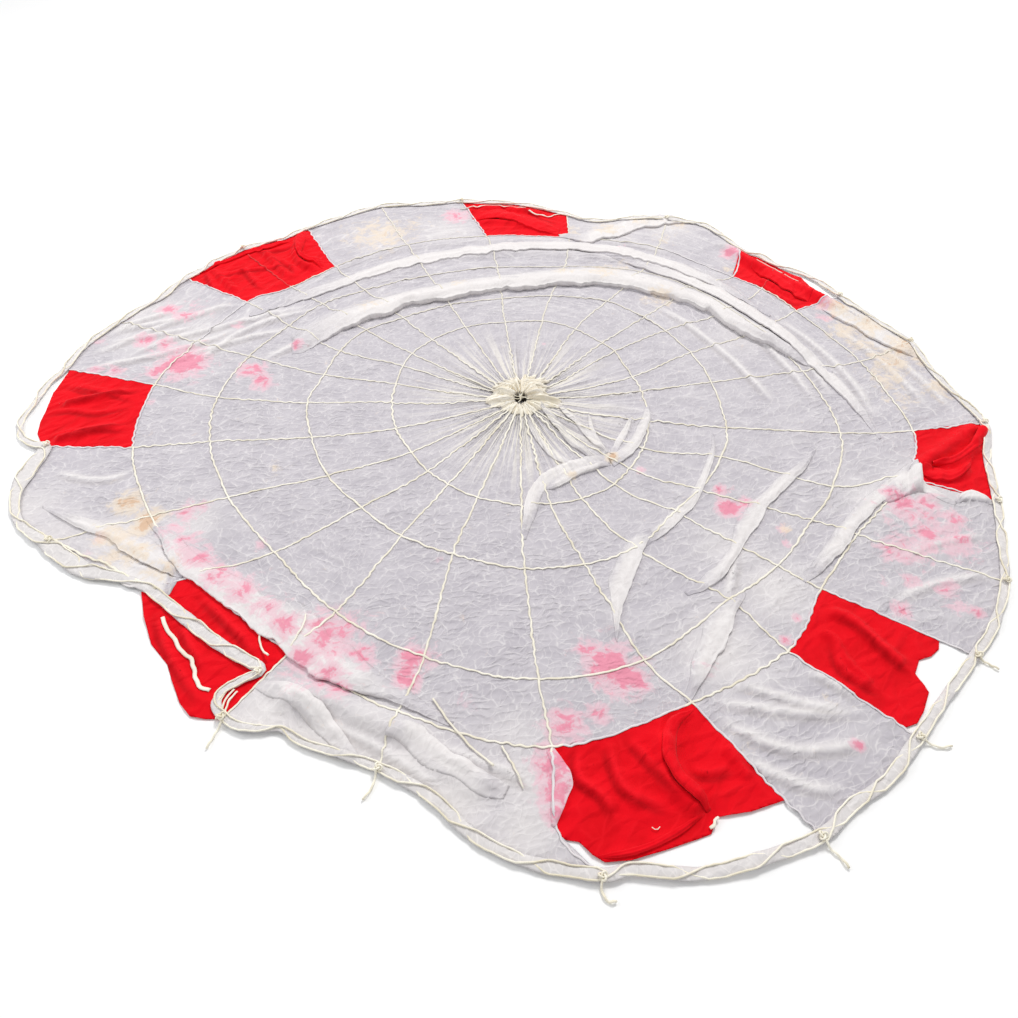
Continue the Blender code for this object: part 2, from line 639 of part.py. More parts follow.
def collar_point(k, row):
    """Plan place and underside height of the collar at pleat line k and row 0 (vent) to 5 (outer edge)."""
    count = 2 * PLEATS
    share = row / 5
    swing = COLLAR_EDGE_SWING * (math.cos(math.pi * k) + 0.6 * math.sin(1.7 * k))
    radius = COLLAR_IN_R + (COLLAR_OUT_R + swing - COLLAR_IN_R) * share
    near = smooth_step((APEX_R - radius) / (APEX_R - VENT_R))
    base = near * (APEX_RISE + PLEAT_H) + CLOTH_T + COLLAR_BASE
    ridge = 0.5 + 0.5 * math.cos(math.pi * k)
    puff = COLLAR_H * math.sin(math.pi * min(1.0, 0.25 + 0.75 * share)) * (0.65 + 0.35 * math.sin(2.3 * k))
    return polar(360 * k / count, radius), base + ridge * puff


def make_collar():
    count = 2 * PLEATS
    bm = bmesh.new()
    low = []
    high = []
    for k in range(count):
        spots = [collar_point(k, row) for row in range(6)]
        low.append([bm.verts.new((*p, z)) for p, z in spots])
        high.append([bm.verts.new((*p, z + COLLAR_T)) for p, z in spots])
    for k in range(count):
        m = (k + 1) % count
        for r in range(5):
            bm.faces.new([low[k][r], low[k][r + 1], low[m][r + 1], low[m][r]])
            bm.faces.new([high[k][r], high[m][r], high[m][r + 1], high[k][r + 1]])
        for r in (0, 5):
            bm.faces.new([low[k][r], low[m][r], high[m][r], high[k][r]])
    bmesh.ops.recalc_face_normals(bm, faces=bm.faces)
    bmesh.ops.triangulate(bm, faces=bm.faces)
    mesh = bpy.data.meshes.new("vent_collar")
    bm.to_mesh(mesh)
    bm.free()
    add_object("vent_collar", mesh, "collar_cloth")
    return mesh


def make_vent_lines(collar_top):
    """Lines that cross the vent, each clear of the one below it, with their ends down on the collar."""
    for i, angle in enumerate(VENT_LINE_ANGLES):
        shares = [k / 4 for k in range(-4, 5)]
        path = [polar(angle, s * VENT_LINE_REACH) for s in shares]
        _, heights = laid_heights(path, [2 * VENT_LINE_R] * len(path), collar_top, False, CORD_LIFT)
        over = VENT_LINE_Z + i * (2 * VENT_LINE_R + 2 * GAP)
        line = []
        for s, p, z in zip(shares, path, heights):
            down = smooth_step(abs(s))
            end = heights[0] if s < 0 else heights[-1]
            line.append(Vector((p.x, p.y, max(z, over * (1 - down) + end * down) + VENT_LINE_R)))
        add_cord("vent_line_%02d" % (i + 1), line, VENT_LINE_R)


def make_radials(cloth_top):
    meshes = []
    for row in SEAMS:
        start = polar(row[1], COLLAR_OUT_R + 2 * COLLAR_EDGE_SWING)
        corners = [start] + [seam_corner(row, ring) for ring in range(4)]
        skirt = skirt_seam(row[0])[1:]
        end = skirt[-1]
        corners += skirt[:-1]
        corners.append(end - (end - corners[-1]).normalized() * 0.024)
        path = refined(smooth_open(corners, 2), False)
        mesh = strip_mesh("radial_tape_" + row[0], path, [TAPE_W] * len(path), cloth_top, False, TAPE_T)
        add_object("radial_tape_" + row[0], mesh, "cream_tape")
        meshes.append(mesh)
    return meshes


def make_rings(under):
    for i, ring in enumerate(RINGS):
        path = refined(ring_curve(i), True)
        mesh = strip_mesh("ring_tape_" + ring, path, [TAPE_W] * len(path), under, True, TAPE_T)
        add_object("ring_tape_" + ring, mesh, "cream_tape")


def make_band(under):
    points = [Vector((*polar(angle, radius), width)) for angle, radius, width in BAND]
    curve = smooth_closed(points, 2)
    path = [Vector((p.x, p.y)) for p in curve]
    widths = [p.z for p in curve]
    mesh = strip_mesh("skirt_band", path, widths, under, True, BAND_T, BAND_CROWN)
    add_object("skirt_band", mesh, "band_cloth")
    return mesh


def make_red_hem_tape(under):
    path = smooth_open([Vector(p) for p in RED_HEM_TAPE], 2)
    mesh = strip_mesh("red_hem_tape", path, [RED_HEM_W] * len(path), under, False, TAPE_T)
    add_object("red_hem_tape", mesh, "cream_tape")


def add_cord(name, points, radius):
    curve = bpy.data.curves.new(name, "CURVE")
    curve.dimensions = "3D"
    curve.bevel_depth = radius
    curve.bevel_resolution = 2
    curve.use_fill_caps = True
    spline = curve.splines.new("POLY")
    spline.points.add(len(points) - 1)
    for spot, p in zip(spline.points, points):
        spot.co = (*p, 1.0)
    return add_object(name, curve, "cord")


def cord_over(path, heights, radius):
    """A cord's middle line over a path of heights, raised where it slopes so that it stays clear."""
    line = []
    for i, (p, z) in enumerate(zip(path, heights)):
        slope = 0.0
        for j in (i - 1, i + 1):
            if 0 <= j < len(path):
                slope = max(slope, abs(heights[j] - z) / (path[j] - p).length)
        line.append(Vector((p.x, p.y, z + radius * math.hypot(1.0, slope))))
    return line


def make_stubs(under):
    """Each stub lies over the band from its knot and comes down to the ground or the cloth beyond it."""
    for name, points in STUBS:
        path = smooth_open([Vector(p) for p in points], 3)
        before = path[0] + (path[0] - path[1]).normalized() * STUB_R
        _, heights = laid_heights([before, *path], [2 * STUB_R] * (len(path) + 1), under, False, CORD_LIFT)
        heights = [max(z, GAP) for z in [max(heights[:2]), *heights[2:]]]
        add_cord(name, cord_over(path, heights, STUB_R), STUB_R)


def centre_canopy():
    """Moves the canopy so that the origin is on the ground under the middle of its box."""
    meshes = [o for o in bpy.data.objects if o.type == "MESH"]
    xs = [v.co.x for o in meshes for v in o.data.vertices]
    ys = [v.co.y for o in meshes for v in o.data.vertices]
    shift = Vector(((min(xs) + max(xs)) / 2, (min(ys) + max(ys)) / 2, 0.0))
    for obj in bpy.data.objects:
        obj.location = -shift
    print("apex is at", -shift)


def main():
    clear_scene()
    cloths = [make_crown()] + make_panels()
    cloth_top = surface_under(cloths)
    collar = make_collar()
    make_vent_lines(surface_under([collar]))
    radials = make_radials(cloth_top)
    with_radials = surface_under(cloths + radials)
    make_rings(with_radials)
    band = make_band(with_radials)
    make_red_hem_tape(cloth_top)
    make_stubs(surface_under(cloths + radials + [band]))
    centre_canopy()


main()
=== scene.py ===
import math

import bmesh
import bpy
import numpy as np
from mathutils import Matrix, Vector, noise


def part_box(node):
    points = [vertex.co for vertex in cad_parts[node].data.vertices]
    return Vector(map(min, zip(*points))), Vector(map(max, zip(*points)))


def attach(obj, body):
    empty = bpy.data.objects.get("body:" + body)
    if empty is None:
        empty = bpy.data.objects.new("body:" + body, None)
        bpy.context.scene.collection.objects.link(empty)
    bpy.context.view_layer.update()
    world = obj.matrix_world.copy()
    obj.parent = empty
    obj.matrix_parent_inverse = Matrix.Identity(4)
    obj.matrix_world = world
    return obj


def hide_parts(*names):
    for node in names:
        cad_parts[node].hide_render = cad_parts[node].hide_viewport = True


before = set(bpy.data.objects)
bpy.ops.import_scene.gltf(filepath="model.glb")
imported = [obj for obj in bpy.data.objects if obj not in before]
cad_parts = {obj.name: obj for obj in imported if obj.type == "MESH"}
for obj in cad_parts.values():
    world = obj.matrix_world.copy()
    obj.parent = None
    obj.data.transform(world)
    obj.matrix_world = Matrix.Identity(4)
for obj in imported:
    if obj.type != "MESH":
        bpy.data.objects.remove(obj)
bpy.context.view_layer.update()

apex = Vector((0.0502, 0.0242))  # the vent's middle; every plan point below is measured from it

# ---- camera, lights and floor ----

camera = {"place": (0.0160, -1.9900, 1.5911), "tilt": 44.634, "roll": 0.248, "lens": 29.38, "sensor": 36.0}
floor = {"size": 16.0, "colour": (0.94, 0.94, 0.94), "roughness": 0.9}
studio = {
    "key": {"place": (1.9, 4.6, 7.2), "size": 2.6, "watts": 492.0, "colour": (1.0, 0.99, 0.97)},
    "side": {"place": (-3.6, 0.4, 2.8), "size": 2.6, "watts": 52.0, "colour": (0.97, 0.98, 1.0)},
    "sky": 0.61,
}


def makeCamera():
    data = bpy.data.cameras.new("viewCamera")
    data.lens = camera["lens"]
    data.sensor_width = camera["sensor"]
    obj = bpy.data.objects.new("viewCamera", data)
    bpy.context.scene.collection.objects.link(obj)
    tilt = Matrix.Rotation(math.radians(camera["tilt"]), 4, "X")
    roll = Matrix.Rotation(math.radians(camera["roll"]), 4, "Z")
    obj.matrix_world = Matrix.Translation(camera["place"]) @ (tilt @ roll)
    bpy.context.scene.camera = obj


def makeLights():
    for name in ("key", "side"):
        light = studio[name]
        data = bpy.data.lights.new(name + "Light", "AREA")
        data.shape = "DISK"
        data.size = light["size"]
        data.energy = light["watts"]
        data.color = light["colour"]
        obj = bpy.data.objects.new(name + "Light", data)
        bpy.context.scene.collection.objects.link(obj)
        obj.location = light["place"]
        obj.rotation_euler = (-Vector(light["place"])).to_track_quat("-Z", "Y").to_euler()
    world = bpy.data.worlds.new("studio")
    world.use_nodes = True
    back = world.node_tree.nodes["Background"]
    back.inputs["Color"].default_value = (0.98, 0.985, 1.0, 1.0)
    back.inputs["Strength"].default_value = studio["sky"]
    bpy.context.scene.world = world
    bpy.context.scene.view_settings.view_transform = "Standard"


def makeFloor():
    bm = bmesh.new()
    bmesh.ops.create_grid(bm, x_segments=1, y_segments=1, size=floor["size"] / 2)
    obj = addMesh("floor", bm, plainMaterial("floorPaint", floor["colour"], floor["roughness"]))


# ---- objects and materials ----


def addMesh(name, bm, *materials):
    mesh = bpy.data.meshes.new(name)
    bm.to_mesh(mesh)
    bm.free()
    for material in materials:
        mesh.materials.append(material)
    obj = bpy.data.objects.new(name, mesh)
    bpy.context.scene.collection.objects.link(obj)
    return obj


def plainMaterial(name, colour, roughness):
    material = bpy.data.materials.new(name)
    material.use_nodes = True
    shader = material.node_tree.nodes["Principled BSDF"]
    shader.inputs["Base Color"].default_value = (*colour, 1.0)
    shader.inputs["Roughness"].default_value = roughness
    return material


# ---- lines in plan ----


def planPoints(table):
    return [Vector((x / 1000, y / 1000)) for x, y in table]


def smoothLine(points, steps, closed=False):
    # the curve through the points, with that many steps between two of them
    if closed:
        ring = [points[-1], *points, points[0], points[1]]
    else:
        ring = [2 * points[0] - points[1], *points, 2 * points[-1] - points[-2]]
    line = []
    for i in range(1, len(ring) - 2):
        a, b, c, d = ring[i - 1:i + 3]
        for k in range(steps):
            t = k / steps
            square, cube = 2 * a - 5 * b + 4 * c - d, 3 * b - a - 3 * c + d
            line.append(0.5 * (2 * b + (c - a) * t + square * t * t + cube * t ** 3))
    return line if closed else line + [points[-1]]


def evenLine(points, step, closed=False):
    # the same line with points at even distances
    chain = points + [points[0]] if closed else points
    reach = [0.0]
    for a, b in zip(chain, chain[1:]):
        reach.append(reach[-1] + (b - a).length)
    count = max(2, round(reach[-1] / step))
    line, i = [], 0
    for k in range(count if closed else count + 1):
        want = reach[-1] * k / count
        while i < len(chain) - 2 and reach[i + 1] < want:
            i += 1
        share = (want - reach[i]) / max(1e-9, reach[i + 1] - reach[i])
        line.append(chain[i].lerp(chain[i + 1], min(1.0, share)))
    return line


def polar(angle, radius):
    a = math.radians(angle)
    return Vector((radius * math.cos(a), radius * math.sin(a)))


# ---- the canopy's seams ----

rings = "ABCD"
seams = {  # angle in degrees and radius at ring tapes A, B, C, D and at the skirt band
    "01": ((197.0, 0.388), (194.3, 0.634), (191.1, 0.923), (190.4, 1.140), (188.3, 1.385)),
    "02": ((214.7, 0.386), (210.7, 0.628), (207.2, 0.894), (205.9, 1.096), (205.3, 1.345)),
    "03": ((228.8, 0.398), (225.8, 0.619), (223.9, 0.877), (220.0, 1.068), (218.6, 1.170)),
    "04": ((240.3, 0.407), (240.3, 0.632), (240.8, 0.915), (239.6, 1.059), (239.2, 1.262)),
    "05": ((253.6, 0.421), (253.9, 0.637), (256.2, 0.950), (255.7, 1.102), (255.9, 1.232)),
    "06": ((269.9, 0.436), (270.5, 0.659), (271.9, 0.984), (272.9, 1.149), (275.8, 1.418)),
    "07": ((280.3, 0.433), (283.8, 0.662), (286.5, 0.968), (289.5, 1.101), (293.2, 1.452)),
    "08": ((292.0, 0.440), (296.4, 0.658), (303.5, 0.907), (304.0, 1.088), (306.6, 1.397)),
    "09": ((306.1, 0.434), (311.8, 0.616), (314.9, 0.911), (315.6, 1.027), (318.6, 1.380)),
    "10": ((316.7, 0.418), (322.7, 0.616), (327.8, 0.909), (328.5, 1.026), (329.8, 1.380)),
    "11": ((330.4, 0.406), (337.8, 0.619), (337.5, 0.930), (343.2, 1.116), (342.3, 1.353)),
    "12": ((348.5, 0.391), (350.3, 0.620), (352.5, 0.953), (354.2, 1.166), (356.9, 1.388)),
    "13": ((370.3, 0.384), (371.2, 0.615), (371.2, 0.926), (371.8, 1.131), (374.5, 1.346)),
    "14": ((382.3, 0.386), (386.5, 0.627), (386.5, 0.894), (388.8, 1.109), (388.8, 1.312)),
    "15": ((402.0, 0.419), (399.6, 0.640), (395.8, 0.893), (397.8, 1.116), (400.9, 1.287)),
    "16": ((410.5, 0.430), (408.5, 0.650), (407.4, 0.917), (404.2, 1.102), (408.3, 1.290)),
    "17": ((425.5, 0.456), (422.3, 0.670), (420.2, 0.915), (420.9, 1.100), (423.4, 1.345)),
    "18": ((440.5, 0.470), (439.7, 0.640), (438.4, 0.848), (439.3, 1.067), (441.0, 1.270)),
    "19": ((456.4, 0.454), (455.9, 0.610), (455.7, 0.832), (456.9, 1.082), (459.9, 1.385)),
    "20": ((473.4, 0.466), (473.4, 0.620), (473.6, 0.836), (473.7, 1.075), (473.5, 1.440)),
    "21": ((490.1, 0.455), (490.2, 0.625), (490.2, 0.867), (490.0, 1.067), (486.9, 1.408)),
    "22": ((503.0, 0.445), (502.4, 0.660), (501.0, 0.895), (500.7, 1.068), (498.6, 1.412)),
    "23": ((512.2, 0.429), (514.9, 0.655), (511.3, 0.900), (509.2, 1.124), (508.9, 1.425)),
    "24": ((525.1, 0.406), (526.7, 0.642), (524.4, 0.918), (523.2, 1.124), (522.1, 1.442)),
    "25": ((538.9, 0.395), (539.4, 0.654), (538.1, 0.936), (535.3, 1.153), (533.2, 1.466)),
}
seamBows = {"06": (272.7, 1.330), "07": (291.4, 1.262)}  # a point on the seam's way to the band

# ---- heights of the cloth ----

# Plan points in the tables below are in millimetres from the vent's middle, and so are heights and widths.
# A fold turned over on itself: its height, and rows of a point of its far edge and one of its near edge.
foldBands = {
    "roll": (28, (
        (-760, 330, -750, 262), (-733, 369, -707, 282), (-611, 512, -595, 400), (-490, 591, -479, 488),
        (-374, 653, -366, 553), (-181, 724, -178, 621), (78, 783, 75, 684), (304, 815, 295, 700),
        (484, 751, 472, 646), (649, 627, 635, 535), (763, 472, 747, 386), (922, 271, 905, 226),
        (1000, 170, 995, 155))),
    "pinchLeft": (12, (
        (10, -560, -2, -560), (30, -481, 3, -481), (52, -420, 14, -403), (76, -368, 44, -330),
        (140, -321, 107, -282), (192, -290, 179, -250), (253, -272, 247, -234))),
    "pinchRight": (11, (
        (245, -240, 262, -278), (307, -183, 322, -220), (339, -123, 360, -152), (366, -60, 384, -78),
        (385, 10, 392, 0))),
    "rightUpper": (7, (
        (562, -130, 568, -138), (546, -209, 556, -220), (504, -305, 524, -306), (455, -403, 476, -414),
        (413, -440, 437, -468), (362, -500, 380, -530), (307, -536, 319, -582))),
    "rightLower": (10, (
        (330, -520, 340, -540), (292, -544, 318, -575), (248, -611, 296, -634), (219, -679, 265, -714),
        (208, -737, 240, -778), (214, -800, 226, -830), (214, -870, 218, -882))),
    "longUpper": (10, (
        (850, -190, 854, -198), (796, -256, 800, -286), (706, -334, 722, -371), (633, -407, 668, -436),
        (581, -477, 613, -511), (543, -551, 575, -569), (520, -603, 541, -625), (449, -680, 468, -714),
        (395, -730, 402, -742))),
    "rimRight": (10, (
        (1118, -262, 1116, -276), (1082, -278, 1090, -316), (990, -349, 1004, -398),
        (876, -460, 900, -489), (810, -535, 840, -569), (744, -613, 780, -632), (690, -690, 700, -702))),
    "frontFlap": (10, (
        (535, -720, 545, -735), (492, -761, 510, -790), (445, -804, 490, -842), (413, -852, 466, -889),
        (394, -910, 432, -935), (378, -959, 406, -977), (350, -1030, 360, -1040))),
    "peach": (9, (
        (-1290, -440, -1284, -452), (-1185, -480, -1173, -520), (-1081, -516, -1077, -560),
        (-983, -560, -1005, -616), (-898, -608, -921, -662), (-830, -667, -845, -695))),
    "pinkPleat": (12, (
        (-1010, -470, -1004, -482), (-950, -510, -938, -560), (-878, -575, -887, -640),
        (-795, -641, -806, -707), (-695, -700, -708, -781), (-600, -750, -621, -852),
        (-520, -792, -539, -916), (-411, -892, -457, -987), (-274, -1004, -306, -1037),
        (-150, -1090, -158, -1100))),
    "whiteLobe": (8, (
        (-1110, -650, -1100, -662), (-1066, -648, -1034, -688), (-991, -646, -970, -718),
        (-918, -659, -892, -748), (-850, -690, -860, -748))),
    "apexPleatA": (9, (
        (51, 26, 44, 16), (82, -17, 66, -39), (123, -96, 104, -120), (162, -169, 147, -191),
        (199, -233, 195, -240))),
    "apexPleatB": (8, (
        (113, 16, 105, 6), (144, -31, 131, -52), (184, -86, 169, -110), (218, -153, 204, -171),
        (247, -220, 242, -226))),
    "apexPleatC": (7, (
        (22, -64, 16, -69), (46, -124, 31, -139), (77, -183, 62, -205), (116, -235, 106, -257),
        (154, -267, 151, -275))),
    "pinchUp": (10, (
        (269, -239, 253, -224), (298, -178, 281, -163), (322, -116, 309, -106), (337, -56, 335, -54))),
    "pinchLeftUp": (9, (
        (236, -235, 251, -220), (215, -181, 228, -170), (203, -115, 214, -109), (203, -37, 206, -36))),
    "pinchTwist": (11, (
        (63, -374, 66, -380), (102, -331, 112, -359), (146, -287, 156, -320), (198, -261, 202, -297),
        (252, -249, 253, -274))),
    "backFold": (10, (
        (-940, 490, -935, 478), (-763, 655, -744, 604), (-529, 832, -513, 769), (-270, 961, -260, 885),
        (43, 1020, 43, 941), (319, 998, 309, 920), (546, 905, 526, 833), (744, 722, 723, 672),
        (876, 504, 870, 493))),
    "backFoldRight": (11, (
        (314, 935, 310, 920), (536, 837, 520, 781), (707, 703, 678, 635), (851, 504, 815, 442),
        (965, 261, 930, 214), (1034, 51, 1008, 24), (1058, -149, 1052, -154))),
    "creamRoll": (14, (
        (1120, 598, 1068, 551), (1157, 578, 1093, 500), (1198, 514, 1137, 444), (1248, 426, 1185, 378),
        (1298, 349, 1241, 308), (1332, 274, 1298, 251))),
    "wave04": (12, (
        (1179, -418, 1179, -415), (1200, -414, 1202, -389), (1218, -411, 1233, -376),
        (1243, -418, 1259, -392), (1275, -426, 1277, -422))),
    "flap04": (6, (
        (975, -426, 983, -383), (1031, -402, 1045, -335), (1083, -371, 1115, -285),
        (1105, -386, 1115, -326), (1130, -409, 1138, -370), (1173, -424, 1184, -409))),
    "flap02": (10, (
        (45, -1156, 60, -1147), (60, -1218, 96, -1218), (54, -1261, 87, -1254), (49, -1314, 58, -1320))),
    "backRimRoll": (14, (
        (156, 1087, 163, 1054), (266, 1113, 275, 1006), (377, 1147, 368, 1047), (499, 1235, 488, 1131),
        (604, 1254, 598, 1175), (710, 1219, 706, 1193))),
    "lobeLeft": (12, (
        (-598, -1004, -584, -986), (-562, -1027, -542, -994), (-523, -1044, -505, -1004),
        (-488, -1071, -464, -1034), (-457, -1102, -428, -1069), (-419, -1140, -391, -1112),
        (-379, -1169, -361, -1149), (-334, -1194, -323, -1185))),
    "lobeMiddle": (12, (
        (-292, -1130, -287, -1111), (-269, -1141, -254, -1099), (-243, -1157, -220, -1104),
        (-207, -1186, -184, -1132), (-168, -1219, -148, -1166), (-110, -1253, -91, -1201),
        (-42, -1261, -30, -1234))),
}
# The same in the red panels; the last two figures of a name are the panel's.
redBands = {
    "corner07": (12, (
        (-854, 1120, -859, 1122), (-833, 1021, -871, 1041), (-839, 952, -862, 950),
        (-822, 903, -827, 871), (-775, 886, -777, 859), (-737, 816, -739, 811))),
    "top07": (10, (
        (-1189, 776, -1186, 770), (-1137, 882, -1118, 842), (-1065, 953, -1047, 910),
        (-986, 1010, -971, 964), (-894, 1032, -892, 1024))),
    "strip06": (12, (
        (-192, 1288, -188, 1211), (-150, 1286, -146, 1209), (-103, 1283, -96, 1203),
        (-15, 1270, -35, 1182), (47, 1226, 36, 1144), (111, 1171, 85, 1107), (166, 1129, 156, 1087))),
    "strip05": (12, (
        (886, 872, 869, 827), (925, 835, 903, 754), (953, 791, 930, 709), (973, 762, 950, 660),
        (1002, 727, 984, 630), (1035, 692, 1015, 607), (1058, 651, 1030, 597))),
    "roll04": (18, (
        (1398, -98, 1383, -82), (1349, -170, 1334, -145), (1295, -219, 1290, -196),
        (1246, -254, 1246, -231), (1198, -276, 1202, -252), (1158, -277, 1160, -268))),
    "bend04": (12, (
        (1131, -277, 1119, -302), (1165, -269, 1136, -326), (1190, -285, 1169, -334),
        (1220, -288, 1215, -323), (1254, -268, 1260, -285), (1290, -233, 1291, -235))),
    "lobe02": (16, (
        (370, -1056, 369, -1054), (327, -1106, 305, -1091), (315, -1164, 283, -1168),
        (327, -1201, 300, -1220), (353, -1240, 331, -1258), (368, -1281, 361, -1287))),
    "hem02": (8, (
        (138, -1374, 138, -1377), (189, -1363, 191, -1376), (242, -1346, 246, -1358),
        (299, -1317, 304, -1328), (353, -1286, 355, -1290))),
}

# A broad fold: height, half width towards the front and towards the back, and its crest.
broadFolds = {
    "lowFold": (14, 45, 70, ((-720, 650), (-402, 861), (-80, 930), (246, 918), (500, 866), (740, 690))),
    "thirdFold": (10, 35, 60, (
        (-800, 720), (-520, 930), (-180, 1020), (150, 1030), (480, 980), (700, 860))),
    "turnedEdge": (24, 36, 42, ((1370, -90), (1280, -160), (1160, -250), (1070, -320))),
    "frontLeftBillow": (22, 50, 55, ((-560, -1040), (-450, -1030), (-330, -1090), (-200, -1130))),
    "backRightRoll": (24, 36, 50, ((758, 1075), (853, 894), (965, 735), (1051, 635), (1146, 508),
        (1232, 418))),
    "redLobe": (19, 34, 34, ((300, -1102), (283, -1171), (292, -1223), (326, -1265), (353, -1293))),
    "redPleatLeft": (12, 20, 24, ((109, -1189), (117, -1224), (157, -1257), (177, -1294))),
    "redPleatMiddle": (11, 20, 24, ((178, -1130), (183, -1185), (202, -1240), (236, -1283))),
    "redPleatRight": (10, 20, 24, ((417, -1143), (436, -1175), (458, -1222))),
    "redRidge03": (17, 26, 32, ((718, -788), (775, -816), (805, -866), (835, -910), (872, -953))),
    "redCrease03": (12, 20, 24, ((693, -844), (721, -872), (730, -924), (752, -970), (776, -999))),
    "redBend04": (14, 20, 22, ((1150, -330), (1188, -322), (1230, -310), (1270, -270))),
    "redTurn05": (13, 28, 26, ((880, 750), (925, 700), (985, 610))),
    "redNear06": (13, 30, 28, ((-191, 1180), (-65, 1190), (60, 1142), (150, 1100))),
    "redFar06": (16, 30, 34, ((-230, 1300), (-110, 1300), (28, 1275), (130, 1235))),
    "redRight07": (18, 26, 30, ((-868, 1090), (-858, 930), (-820, 840), (-750, 800))),
    "redMiddle07": (13, 24, 28, ((-990, 950), (-915, 840), (-850, 740))),
    "redLeft07": (13, 24, 28, ((-1154, 799), (-1082, 719), (-1020, 640))),
    "redFront08": (14, 24, 28, ((-1370, -173), (-1315, -156), (-1263, -129), (-1180, -110))),
    "redBack08": (14, 24, 28, ((-1400, -18), (-1350, 11), (-1290, 30), (-1210, 70))),
}

